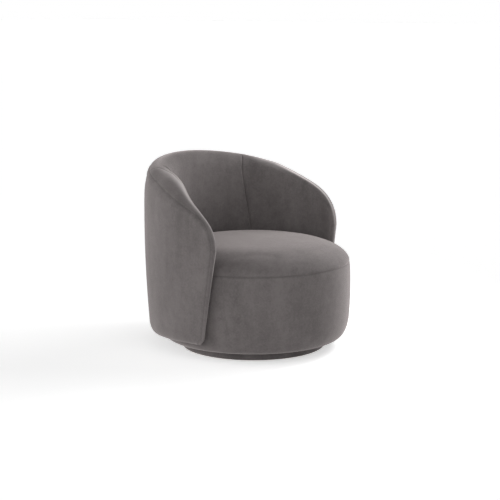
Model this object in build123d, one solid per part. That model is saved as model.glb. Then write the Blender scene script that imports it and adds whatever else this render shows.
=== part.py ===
from build123d import *
import os
from math import cos, degrees, pi, radians, sin, sqrt

# Velvet swivel tub chair: a round seat and a wrap-around back that turn together on a low round plinth.
# Millimetres. The origin is on the floor on the swivel axis, +Z is up and the chair faces -Y.
# Angles round the back wall are in degrees from the back centre, positive towards +X.

# Clearances
FIT = 0.4            # between pieces that are fixed to each other
CLOTH_FIT = 1.0      # between the cloth, foam and panel of the back
RUNNING = 0.05       # radial, between the pivot pin and its bush
END_PLAY = 0.3       # between the bush and the washer that holds it down

# Cloth
cover_thickness = 3.0          # velvet with its wadding
back_cloth_thickness = 6.0     # the outside back is padded more
plinth_cloth_thickness = 2.5
dust_cloth_thickness = 1.0

# Plinth
plinth_radius = 269.0
plinth_board_thickness = 12.5
plinth_band_thickness = 3.0
plinth_edge_round = 2.0
floor_ring_thickness = 3.0
floor_ring_width = 18.0
floor_ring_inset = 12.0

# Swivel bearing
plate_thickness = 3.0
race_radius = 105.0
race_depth = 1.3
ball_radius = 5.0
ball_count = 24
ball_play = 0.05
cage_width = 24.0
cage_thickness = 3.0
pocket_play = 0.3

# Pivot
pin_radius = 8.0
pin_flange_radius = 16.0
pin_flange_thickness = 4.0
pin_end_length = 2.5
bush_wall = 3.0
bush_flange_width = 7.0
bush_flange_thickness = 2.5
washer_width = 9.0
washer_thickness = 2.5
nut_radius = 13.8
nut_height = 13.0

# Screws
screw_radius = 2.5
screw_head_radius = 4.5
screw_head_height = 2.5
screw_length = 10.0
screw_count = 6
plate_screw_gap = 13.0         # from the ball cage out to the circle of the plate screws
plate_screw_margin = 20.0      # from that circle out to the edge of the plates
board_screw_circle = 190.0
board_screw_length = 18.0

# Seat drum
drum_radius = 364.0
drum_foot_width = 44.5
drum_foot_height = 92.0
drum_side_draw = 3.5
seam_draw = 3.0
shoulder_width = 76.0
shoulder_rise = 61.5
shoulder_bulge = 10.0
crown_rise = 77.0
board_margin = 6.0             # from the edge of the base board to the round of the foot
base_board_thickness = 18.0
hem_lap = 16.0
drum_wall_thickness = 12.0
drum_wall_height = 240.0
seat_ring_width = 60.0
seat_ring_thickness = 18.0
strap_width = 50.0
strap_thickness = 2.0
strap_spacing = 90.0
strap_count = 5
strap_end_margin = 8.0
seam_rise = 2.8

# Back and arm wall
seat_gap = 1.5
wall_thickness = 40.3
wall_taper = 14.3
shell_lift = 23.0
foot_height = 51.0
belly_rise = 419.0
back_rise = 385.0
arm_drop = 88.0
arm_slope_start = 66.0         # degrees
arm_fall = 136.242             # of the slope by the front end of the arm
nose_start = 103.0             # degrees
nose_fall = 33.8               # of the nose by the front end of the arm
arm_end = 109.5                # degrees
front_reach = 111.0
front_reach_height = 400.0
front_lean = 8.15              # degrees
front_turn = 14.0              # degrees
pad_thickness = 95.0
front_thickness = 42.0
thin_start = 70.0              # degrees
thin_end = 100.0               # degrees
inner_roll_back = 47.5         # radius of the roll's inner half round the back
inner_roll_arm = 12.0          # and its tighter radius along the arms
roll_start = 46.0              # degrees
roll_end = 64.0                # degrees
roll_height_back = 45.0
roll_height_front = 20.0
lens_height = 15.0
seam_angle = 48.0              # degrees
ledge_rise = 45.0
pad_bulge = 9.0
front_bulge = 1.5
panel_thickness = 10.0
panel_setback = 12.0
nose_relief = 3.0
section_step = 4.0             # degrees

# Bolts from the drum wall to the back panel
bolt_radius = 4.0
bolt_head_radius = 7.0
bolt_head_height = 5.3
bolt_washer_radius = 9.0
bolt_washer_thickness = 1.6
bolt_rise = 155.0
bolt_angles = (0.0, 28.0, 62.0, 88.0)  # degrees
tee_barrel_radius = 5.2
tee_barrel_length = 8.0
tee_flange_radius = 11.0
tee_flange_thickness = 1.5

# Levels, from the floor up
plinth_floor = floor_ring_thickness
plinth_joint = plinth_floor + plinth_board_thickness
plinth_top = plinth_joint + plinth_board_thickness
lower_plate_top = plinth_top + plate_thickness
ball_centre = lower_plate_top + ball_radius - race_depth
upper_plate_bottom = ball_centre + ball_radius - race_depth
base_bottom = upper_plate_bottom + plate_thickness
base_top = base_bottom + base_board_thickness
drum_bottom = base_bottom - FIT - cover_thickness
ring_bottom = base_top + drum_wall_height
ring_top = ring_bottom + seat_ring_thickness
foam_bottom = ring_top + 2 * strap_thickness + 2 * FIT
seam_height = foam_bottom + seam_rise
shell_bottom = drum_bottom + shell_lift
foot_top = shell_bottom + foot_height
belly_height = shell_bottom + belly_rise
ledge_high = seam_height + ledge_rise
back_height = seam_height + back_rise
bolt_height = base_top + bolt_rise

# Radii that follow from the sizes above
board_radius = plinth_radius - plinth_cloth_thickness - plinth_band_thickness - 2 * FIT
drum_side_radius = drum_radius - drum_side_draw
drum_foot_radius = drum_side_radius - drum_foot_width
base_board_radius = drum_foot_radius - board_margin
hem_radius = base_board_radius - hem_lap
drum_wall_inside = base_board_radius - drum_wall_thickness
wall_inside = drum_radius + seat_gap
shell_radius = wall_inside + wall_thickness
cover_inside = wall_inside + cover_thickness
screw_circle = race_radius + cage_width / 2 + plate_screw_gap
plate_radius = screw_circle + plate_screw_margin
QUARTER = cos(pi / 4)


def bowed(start, end, bulge):
    """The middle of an arc from start to end that bulges to the right of that line."""
    run, rise = end[0] - start[0], end[1] - start[1]
    length = sqrt(run**2 + rise**2)
    middle = ((start[0] + end[0]) / 2, (start[1] + end[1]) / 2)
    return (middle[0] + bulge * rise / length, middle[1] - bulge * run / length)


def quarter(level, upright):
    """The middle of a quarter round that runs from its level end to its upright end."""
    run, rise = upright[0] - level[0], upright[1] - level[1]
    return (level[0] + run * QUARTER, level[1] + rise * (1 - QUARTER))


def outline(start, *steps):
    """A closed outline from a start point: a step is an end point, or the middle and end of an arc."""
    edges = []
    here = start
    for step in steps:
        if isinstance(step[0], tuple):
            middle, end = step
            edges.append(Edge.make_three_point_arc(here, middle, end))
        else:
            end = step
            edges.append(Edge.make_line(here, end))
        here = end
    edges.append(Edge.make_line(here, start))
    return Wire(edges)


def turned(profile):
    """A solid of revolution from a face drawn with the radius across and the height up."""
    return revolve(Plane.XZ * profile, Axis.Z)


def disc(radius, bottom, top):
    return Pos(0, 0, bottom) * extrude(Circle(radius), top - bottom)


def ring(inside, outside, bottom, top):
    return disc(outside, bottom, top) - disc(inside, bottom, top)


def round_the_axis(piece, circle, count):
    """Copies of a piece at even angles on a circle about the swivel axis."""
    return [Rot(0, 0, 360 * index / count) * Pos(circle, 0, 0) * piece for index in range(count)]


def group(solids):
    return Compound(children=[solid for piece in solids for solid in piece.solids()])


def pan_screw(seat, direction, length):
    """A pan-head screw whose head rests on the level seat and whose shank runs in the direction (+1 or -1)."""
    head = disc(screw_head_radius, *sorted((seat, seat - direction * screw_head_height)))
    shank = disc(screw_radius, *sorted((seat, seat + direction * length)))
    return head + shank


def holes(radius, circle, count, bottom, top):
    return group(round_the_axis(disc(radius, bottom, top), circle, count))


# Plinth


def plinth_pieces():
    screw_hole = screw_radius + FIT / 2
    head_hole = screw_head_radius + FIT
    head_seat = plinth_floor + screw_head_height + FIT
    lower = disc(board_radius, plinth_floor, plinth_joint)
    lower -= holes(screw_hole, board_screw_circle, screw_count, plinth_floor, plinth_joint)
    lower -= holes(head_hole, board_screw_circle, screw_count, plinth_floor, head_seat)
    upper = disc(board_radius, plinth_joint, plinth_top)
    upper -= holes(screw_hole, board_screw_circle, screw_count, plinth_joint, plinth_top)
    upper -= holes(screw_hole, screw_circle, screw_count, plinth_joint, plinth_top)
    upper -= disc(pin_flange_radius + FIT, plinth_top - pin_flange_thickness, plinth_top)
    board_screw = pan_screw(head_seat, 1, board_screw_length)
    band_inside = board_radius + FIT
    band_outside = band_inside + plinth_band_thickness
    cloth = ring(band_outside + FIT, plinth_radius, plinth_floor, plinth_top)
    rims = cloth.edges().filter_by(GeomType.CIRCLE).sort_by(SortBy.RADIUS)[-2:]
    cloth = fillet(rims, plinth_edge_round)
    ring_outside = board_radius - floor_ring_inset
    return {
        "floor_ring": ring(ring_outside - floor_ring_width, ring_outside, 0, plinth_floor),
        "plinth_lower_board": lower,
        "plinth_upper_board": upper,
        "plinth_board_screws": group(round_the_axis(board_screw, board_screw_circle, screw_count)),
        "plinth_edge_band": ring(band_inside, band_outside, plinth_floor, plinth_top),
        "plinth_cover": cloth,
    }


# Swivel


def swivel_pieces():
    race = turned(Pos(race_radius, ball_centre) * Circle(ball_radius + ball_play))
    screw_hole = screw_radius + FIT / 2
    bush_radius = pin_radius + RUNNING + bush_wall
    lower = ring(pin_radius + FIT / 2, plate_radius, plinth_top, lower_plate_top) - race
    lower -= holes(screw_hole, screw_circle, screw_count, plinth_top, lower_plate_top)
    upper = ring(bush_radius + FIT / 2, plate_radius, upper_plate_bottom, base_bottom) - race
    upper -= holes(screw_hole, screw_circle, screw_count, upper_plate_bottom, base_bottom)
    lower_screw = pan_screw(lower_plate_top, -1, screw_length)
    upper_screw = pan_screw(upper_plate_bottom, 1, screw_length)

    cage_bottom = ball_centre - cage_thickness / 2
    cage_top = ball_centre + cage_thickness / 2
    cage = ring(race_radius - cage_width / 2, race_radius + cage_width / 2, cage_bottom, cage_top)
    cage -= holes(ball_radius + pocket_play, race_radius, ball_count, cage_bottom, cage_top)
    ball = Pos(0, 0, ball_centre) * Sphere(ball_radius)

    bush_flange_top = base_top + bush_flange_thickness
    bush = disc(bush_radius, upper_plate_bottom, base_top)
    bush += disc(bush_radius + bush_flange_width, base_top, bush_flange_top)
    bush -= disc(pin_radius + RUNNING, upper_plate_bottom, bush_flange_top)
    washer_bottom = bush_flange_top + END_PLAY
    washer_top = washer_bottom + washer_thickness
    washer = ring(pin_radius + FIT / 2, pin_radius + washer_width, washer_bottom, washer_top)
    nut_top = washer_top + nut_height
    nut = Pos(0, 0, washer_top) * extrude(RegularPolygon(nut_radius, 6), nut_height)
    nut -= disc(pin_radius + FIT / 2, washer_top, nut_top)
    pin = disc(pin_flange_radius, plinth_top - pin_flange_thickness, plinth_top)
    pin += disc(pin_radius, plinth_top, nut_top + pin_end_length)
    return {
        "swivel_lower_plate": lower,
        "lower_plate_screws": group(round_the_axis(lower_screw, screw_circle, screw_count)),
        "pivot_pin": pin,
        "pivot_washer": washer,
        "pivot_lock_nut": nut,
        "ball_cage": cage,
        "bearing_balls": group(round_the_axis(ball, race_radius, ball_count)),
        "swivel_upper_plate": upper,
        "upper_plate_screws": group(round_the_axis(upper_screw, screw_circle, screw_count)),
        "pivot_bush": bush,
    }


# Seat drum


def drum_face():
    """The whole upright section of the covered drum, both sides of the axis."""
    side_height = drum_bottom + drum_foot_height
    foot = (drum_foot_radius, drum_bottom)
    side = (drum_side_radius, side_height)
    belly = (drum_radius, (side_height + seam_height) / 2)
    seam = (drum_radius - seam_draw, seam_height)
    shoulder = (seam[0] - shoulder_width, seam_height + shoulder_rise)
    crown = (0, seam_height + crown_rise)
    foot_middle = quarter(foot, side)
    shoulder_middle = bowed(seam, shoulder, shoulder_bulge)

    def left(point):
        return (-point[0], point[1])

    return make_face(
        outline(
            foot,
            (foot_middle, side),
            belly,
            seam,
            (shoulder_middle, shoulder),
            (crown, left(shoulder)),
            (left(shoulder_middle), left(seam)),
            left(belly),
            left(side),
            (left(foot_middle), left(foot)),
        ).edges()
    )


def section_window(inside, outside, bottom, top):
    """The part of a section plane between two radii and two levels."""
    width, height = outside - inside, top - bottom
    return Pos((inside + outside) / 2, (bottom + top) / 2) * Rectangle(width, height)


def straps(direction, bottom):
    """One layer of webbing straps, laid along X (0 degrees) or Y (90 degrees)."""
    reach = base_board_radius - strap_end_margin
    layer = []
    for index in range(strap_count):
        offset_y = (index - (strap_count - 1) / 2) * strap_spacing
        half = sqrt(reach**2 - (abs(offset_y) + strap_width / 2) ** 2)
        strap = extrude(Rectangle(2 * half, strap_width), strap_thickness)
        layer.append(Rot(0, 0, direction) * Pos(0, offset_y, bottom) * strap)
    return layer


def seat_pieces():
    whole = drum_face()
    under_cover = offset(whole, -cover_thickness)
    inner = offset(whole, -cover_thickness - FIT)
    skin = whole - under_cover
    far, high = 2 * drum_radius, 2 * seam_height
    padding_top = foam_bottom - FIT
    top_panel = skin & section_window(0, far, seam_height + FIT / 2, high)
    band = skin & section_window(hem_radius, far, 0, seam_height - FIT / 2)
    foam = inner & section_window(0, far, foam_bottom, high)
    padding = inner & section_window(base_board_radius + FIT, far, 0, padding_top)
    bush_hole = pin_radius + RUNNING + bush_wall + FIT / 2
    board = ring(bush_hole, base_board_radius, base_bottom, base_top)
    board -= holes(screw_radius + FIT / 2, screw_circle, screw_count, base_bottom, base_top)
    ring_inside = base_board_radius - seat_ring_width
    dust_inside = plate_radius + FIT
    dust_outside = hem_radius - FIT
    upper_straps = ring_top + strap_thickness + FIT
    return {
        "seat_base_board": board,
        "dust_cover": ring(dust_inside, dust_outside, base_bottom - dust_cloth_thickness, base_bottom),
        "drum_wall": ring(drum_wall_inside, base_board_radius, base_top, ring_bottom),
        "seat_ring": ring(ring_inside, base_board_radius, ring_bottom, ring_top),
        "seat_webbing": group(straps(0, ring_top) + straps(90, upper_straps)),
        "seat_foam": turned(foam),
        "drum_padding": turned(padding),
        "seat_top_panel": turned(top_panel),
        "seat_band_cover": turned(band),
    }


# Back and arm wall


def eased(angle, start, end):
    """1 round the back as far as the start angle, falling smoothly to 0 at the end angle."""
    share = min(max((end - abs(angle)) / (end - start), 0), 1)
    return share * share * (3 - 2 * share)


def fullness(angle):
    """How fully the wall is padded: 1 round the back and 0 at the front edges."""
    return eased(angle, thin_start, thin_end)


def outer_radius(height):
    """Radius of the outside of the wall, fullest at the belly."""
    return shell_radius - wall_taper * ((height - belly_height) / (foot_top - belly_height)) ** 2


def crest_height(angle):
    """Height of the top of the wall, which sweeps down from the back to the noses of the arms."""
    away = abs(angle)
    sweep = arm_drop * (1 - cos(radians(away)))
    slope = arm_fall * (max(0, away - arm_slope_start) / (arm_end - arm_slope_start)) ** 2
    nose = nose_fall * (max(0, away - nose_start) / (arm_end - nose_start)) ** 2
    return back_height - sweep - slope - nose


def roll_height(angle):
    """How far the outer seam lies below the crest, more where the facings are widest."""
    share = min(max((abs(angle) - seam_angle) / (thin_end - seam_angle), 0), 1)
    lens = lens_height * sin(pi * share) ** 2
    return roll_height_front + (roll_height_back - roll_height_front) * fullness(angle) + lens


def inner_roll(angle):
    """Radius of the roll between the crest and the inside face."""
    return inner_roll_arm + (inner_roll_back - inner_roll_arm) * eased(angle, roll_start, roll_end)


class WallSection:
    """Upright section through the wall at one angle, with insets for the layers under its face."""

    def __init__(self, angle):
        self.angle = angle
        self.crest = crest_height(angle)
        self.seam = self.crest - roll_height(angle)
        thickness = front_thickness + (pad_thickness - front_thickness) * fullness(angle)
        self.seam_radius = outer_radius(self.seam)
        self.inner_radius = self.seam_radius - thickness
        self.crest_radius = self.inner_radius + inner_roll(angle)
        self.inner_top = self.crest - inner_roll(angle)
        self.ledge_radius = (wall_inside + self.inner_radius) / 2
        self.bulge = front_bulge + (pad_bulge - front_bulge) * fullness(angle)

    def place(self, wire):
        """Moves an outline of radius and height into the upright plane at this angle."""
        turn = radians(self.angle)
        plane = Plane((0, 0, 0), x_dir=(sin(turn), cos(turn), 0), z_dir=(cos(turn), -sin(turn), 0))
        return plane.location * wire

    def outside(self, bottom, top, inset):
        """Middle and end of the arc up the outside of the wall."""
        middle = (bottom + top) / 2
        return (outer_radius(middle) - inset, middle), (outer_radius(top) - inset, top)

    def roll_out(self, inset, shift=0):
        """The roll from the outer seam up to the crest."""
        seam = (self.seam_radius - inset, self.seam)
        crest = (self.crest_radius + shift, self.crest - inset)
        middle = (
            crest[0] + (seam[0] - crest[0]) * QUARTER,
            seam[1] + (crest[1] - seam[1]) * QUARTER,
        )
        return seam, middle, crest

    def roll_in(self, inset, shift=0):
        """The roll from the crest down to the top of the inside face."""
        crest = (self.crest_radius - shift, self.crest - inset)
        end = (self.inner_radius + inset, self.inner_top)
        middle = (
            crest[0] + (end[0] - crest[0]) * QUARTER,
            end[1] + (crest[1] - end[1]) * QUARTER,
        )
        return crest, middle, end

    def inside(self, inset):
        """Points down the inside face: top, middle, ledge over the seat, and the straight part behind it."""
        top = (self.inner_radius + inset, self.inner_top)
        ledge = (self.ledge_radius + inset, ledge_high)
        middle = bowed(top, ledge, self.bulge)
        return top, middle, ledge, (wall_inside + inset, seam_height)

    def whole(self):
        hem = (cover_inside + CLOTH_FIT, shell_bottom)
        foot = (outer_radius(foot_top), foot_top)
        _, roll_middle, crest = self.roll_out(0)
        _, in_middle, top = self.roll_in(0)
        _, face_middle, ledge, low = self.inside(0)
        return self.place(
            outline(
                (wall_inside, shell_bottom),
                hem,
                (quarter(hem, foot), foot),
                self.outside(foot_top, self.seam, 0),
                (roll_middle, crest),
                (in_middle, top),
                (face_middle, ledge),
                low,
            )
        )

    def outside_cover(self):
        top = self.seam - CLOTH_FIT / 2
        hem = (cover_inside + CLOTH_FIT, shell_bottom)
        foot = (outer_radius(foot_top), foot_top)
        inner_foot = (foot[0] - back_cloth_thickness, foot_top)
        inner_hem = (hem[0], shell_bottom + back_cloth_thickness)
        down_middle, _ = self.outside(foot_top, top, back_cloth_thickness)
        return self.place(
            outline(
                hem,
                (quarter(hem, foot), foot),
                self.outside(foot_top, top, 0),
                (outer_radius(top) - back_cloth_thickness, top),
                (down_middle, inner_foot),
                (quarter(inner_hem, inner_foot), inner_hem),
            )
        )

    def panel(self):
        face = back_cloth_thickness + CLOTH_FIT
        back = face + panel_thickness
        bottom = foot_top + CLOTH_FIT
        top = self.seam - panel_setback
        down_middle, _ = self.outside(bottom, top, back)
        return self.place(
            outline(
                (outer_radius(bottom) - face, bottom),
                self.outside(bottom, top, face),
                (outer_radius(top) - back, top),
                (down_middle, (outer_radius(bottom) - back, bottom)),
            )
        )

    def foam(self):
        face = back_cloth_thickness + CLOTH_FIT
        panel_inside = face + panel_thickness + CLOTH_FIT
        skin = cover_thickness + CLOTH_FIT
        bottom = foot_top + CLOTH_FIT
        step = self.seam - panel_setback + CLOTH_FIT
        roll_skin = skin + nose_relief * (1 - fullness(self.angle))
        _, roll_middle, crest = self.roll_out(roll_skin)
        _, in_middle, top = self.roll_in(roll_skin)
        _, face_middle, ledge, low = self.inside(skin)
        roll_start = (self.seam_radius - face, self.seam)
        return self.place(
            outline(
                (wall_inside + skin, bottom),
                (outer_radius(bottom) - panel_inside, bottom),
                self.outside(bottom, step, panel_inside),
                (outer_radius(step) - face, step),
                roll_start,
                (roll_middle, crest),
                (in_middle, top),
                (face_middle, ledge),
                low,
            )
        )

    def inside_cover(self, over_the_top):
        """The cover of the inside face, carried over the crest to the outer seam or ending at the crest."""
        gap = CLOTH_FIT / 2
        shift = 0 if over_the_top else gap
        crest, in_middle, top = self.roll_in(0, shift)
        under_crest, under_middle, under_top = self.roll_in(cover_thickness, shift)
        _, face_middle, ledge, low = self.inside(0)
        _, under_face, under_ledge, under_low = self.inside(cover_thickness)
        down = [
            (in_middle, top),
            (face_middle, ledge),
            low,
            (wall_inside, shell_bottom),
            (cover_inside, shell_bottom),
            under_low,
            under_ledge,
            (under_face, under_top),
            (under_middle, under_crest),
        ]
        if not over_the_top:
            return self.place(outline(crest, *down))
        seam, out_middle, _ = self.roll_out(0)
        under_seam, under_out, _ = self.roll_out(cover_thickness)
        start = (seam[0], seam[1] + gap)
        end = (under_seam[0], under_seam[1] + gap)
        return self.place(outline(start, (out_middle, crest), *down, (under_out, end)))

    def facing(self):
        gap = CLOTH_FIT / 2
        seam, middle, crest = self.roll_out(0, gap)
        under_seam, under_middle, under_crest = self.roll_out(cover_thickness, gap)
        start = (seam[0], seam[1] + gap)
        end = (under_seam[0], under_seam[1] + gap)
        return self.place(outline(start, (middle, crest), under_crest, (under_middle, end)))


def angles_between(start, end):
    """Even angles from start to end, no further apart than the loft needs to stay round."""
    steps = round((end - start) / section_step)
    return [start + (end - start) * index / steps for index in range(steps + 1)]


def lofted(angles, section):
    return Solid.make_loft([section(WallSection(angle)) for angle in angles])


def front_plane(setback):
    """The plane across the front end of the right arm, facing forwards and moved back by the setback."""
    lean, turn = radians(front_lean), radians(front_turn)
    forwards = Vector(-sin(turn) * cos(lean), -cos(turn) * cos(lean), -sin(lean))
    middle = wall_inside + wall_thickness / 2
    point = Vector(sqrt(middle**2 - front_reach**2), -front_reach, front_reach_height)
    return Plane(point - forwards * setback, x_dir=(cos(turn), -sin(turn), 0), z_dir=forwards)


def front_slab(setback, depth):
    """A slab across the right arm in front of its front plane, clear of everything else."""
    tall = 2 * back_height
    return front_plane(setback) * Pos(0, 0, depth / 2) * Box(shell_radius, tall, depth)


def trimmed(piece, setback):
    """Cuts the front ends of both arms."""
    ends = front_slab(setback, front_reach)
    return piece - ends - mirror(ends, about=Plane.YZ)


def pair(name, right):
    return {f"{name}_right": right, f"{name}_left": mirror(right, about=Plane.YZ)}


def back_angles():
    """Every bolt's angle round the back, both sides."""
    return [side * angle for angle in bolt_angles for side in ((1, -1) if angle else (1,))]


def radial(piece, angle):
    """Lays a piece made along +Z out along the radius at an angle, at the height of the bolts."""
    return Pos(0, 0, bolt_height) * Rot(0, 0, -angle) * Rot(-90, 0, 0) * piece


def round_the_back(piece):
    return [radial(piece, angle) for angle in back_angles()]


def bolt_pieces():
    washer_outside = sqrt(drum_wall_inside**2 - bolt_washer_radius**2)
    washer_inside = washer_outside - bolt_washer_thickness
    panel_face = outer_radius(bolt_height) - back_cloth_thickness - CLOTH_FIT
    flange_outside = sqrt(panel_face**2 - tee_flange_radius**2) - FIT / 2
    flange_inside = flange_outside - tee_flange_thickness
    barrel_inside = flange_inside - tee_barrel_length
    bolt = disc(bolt_head_radius, washer_inside - bolt_head_height, washer_inside)
    bolt += disc(bolt_radius, washer_inside, flange_inside)
    washer = ring(bolt_radius + FIT / 2, bolt_washer_radius, washer_inside, washer_outside)
    tee = disc(tee_barrel_radius, barrel_inside, flange_inside)
    tee += disc(tee_flange_radius, flange_inside, flange_outside)
    tee -= disc(bolt_radius + FIT / 4, barrel_inside, flange_outside)
    return {
        "back_bolts": group(round_the_back(bolt)),
        "back_bolt_washers": group(round_the_back(washer)),
        "back_tee_nuts": group(round_the_back(tee)),
    }


def bolt_holes():
    return group(round_the_back(disc(bolt_radius + FIT, drum_wall_inside / 2, shell_radius)))


def tee_holes():
    panel_face = outer_radius(bolt_height) - back_cloth_thickness - CLOTH_FIT
    seat = sqrt(panel_face**2 - tee_flange_radius**2) - tee_flange_thickness - FIT / 2
    hole = disc(tee_barrel_radius + FIT / 2, drum_wall_inside, shell_radius)
    hole += disc(tee_flange_radius + FIT, seat, shell_radius)
    return group(round_the_back(hole))


def wall_pieces():
    behind = cover_thickness + CLOTH_FIT
    gap_angle = degrees(CLOTH_FIT / wall_inside) / 2
    arm = angles_between(seam_angle + gap_angle, arm_end)
    centre = angles_between(-seam_angle + gap_angle, seam_angle - gap_angle)
    around = [-angle for angle in reversed(arm)] + centre[1:-1] + arm
    nose = [angle for angle in arm if angle > thin_end - 2 * section_step]
    strip = lofted(nose, WallSection.whole) & front_slab(cover_thickness, cover_thickness)
    arm_cover = trimmed(lofted(arm, lambda section: section.inside_cover(False)), behind)
    facing = trimmed(lofted(arm, WallSection.facing), behind)
    return {
        "outside_back_cover": trimmed(lofted(around, WallSection.outside_cover), behind),
        "back_panel": trimmed(lofted(around, WallSection.panel), behind),
        "back_foam": trimmed(lofted(around, WallSection.foam), behind),
        "inside_back_cover": lofted(centre, lambda section: section.inside_cover(True)),
        **pair("inside_arm_cover", arm_cover),
        **pair("arm_facing", facing),
        **pair("front_edge_strip", strip),
    }


def all_pieces():
    pieces = {**plinth_pieces(), **swivel_pieces(), **seat_pieces(), **wall_pieces(), **bolt_pieces()}
    drilled = (
        "drum_wall",
        "drum_padding",
        "seat_band_cover",
        "back_foam",
        "inside_back_cover",
        "inside_arm_cover_right",
        "inside_arm_cover_left",
    )
    drill = bolt_holes()
    for name in drilled:
        pieces[name] = pieces[name] - drill
    pieces["back_panel"] = pieces["back_panel"] - tee_holes()
    return pieces


os.makedirs("parts", exist_ok=True)
for name, piece in all_pieces().items():
    export_step(piece, f"parts/{name}.step")
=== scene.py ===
import logging
import math
from dataclasses import dataclass
from enum import Enum
from typing import Dict, List, Optional, Sequence, Tuple, Union

import bpy
import numpy as np
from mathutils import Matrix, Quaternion, Vector


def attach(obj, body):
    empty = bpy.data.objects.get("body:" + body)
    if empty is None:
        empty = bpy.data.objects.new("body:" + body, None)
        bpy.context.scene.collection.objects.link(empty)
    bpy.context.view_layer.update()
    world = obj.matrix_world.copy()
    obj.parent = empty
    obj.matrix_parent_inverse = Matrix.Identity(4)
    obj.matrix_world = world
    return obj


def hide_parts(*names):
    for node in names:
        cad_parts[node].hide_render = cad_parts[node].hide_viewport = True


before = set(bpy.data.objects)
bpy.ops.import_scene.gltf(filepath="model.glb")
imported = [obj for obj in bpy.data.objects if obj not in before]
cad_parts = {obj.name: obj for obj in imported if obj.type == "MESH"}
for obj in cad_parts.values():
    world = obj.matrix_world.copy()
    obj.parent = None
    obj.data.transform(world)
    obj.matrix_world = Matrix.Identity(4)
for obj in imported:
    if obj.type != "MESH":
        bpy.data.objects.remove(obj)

LOG = logging.getLogger("swivel_chair")
Colour = Tuple[float, float, float]
Number = Union[float, "Value"]
Shade = Union[Colour, "Value"]
Point = Tuple[float, float, float]
Profile = Sequence[Tuple[float, float]]

TINY: float = 1e-12


# Shader values


class Value:
    """One output of a material's nodes, for use in plain expressions."""

    def __init__(self, graph: "Graph", socket: bpy.types.NodeSocket) -> None:
        """Wraps a socket of the graph."""
        self.graph = graph
        self.socket = socket

    def _joined(self, operation: str, first: Number, second: Number) -> "Value":
        """The Math node that joins two numbers."""
        return self.graph.node("ShaderNodeMath", {"operation": operation}, {0: first, 1: second})

    def at_least(self, other: Number) -> "Value":
        """The larger of this value and another."""
        return self._joined("MAXIMUM", self, other)

    def __add__(self, other: Number) -> "Value":
        """This value plus another."""
        return self._joined("ADD", self, other)

    def __radd__(self, other: Number) -> "Value":
        """A number plus this value."""
        return self._joined("ADD", other, self)

    def __sub__(self, other: Number) -> "Value":
        """This value less another."""
        return self._joined("SUBTRACT", self, other)

    def __rsub__(self, other: Number) -> "Value":
        """A number less this value."""
        return self._joined("SUBTRACT", other, self)

    def __mul__(self, other: Number) -> "Value":
        """This value times another."""
        return self._joined("MULTIPLY", self, other)

    def __rmul__(self, other: Number) -> "Value":
        """A number times this value."""
        return self._joined("MULTIPLY", other, self)

    def __pow__(self, other: Number) -> "Value":
        """This value to a power."""
        return self._joined("POWER", self, other)


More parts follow.
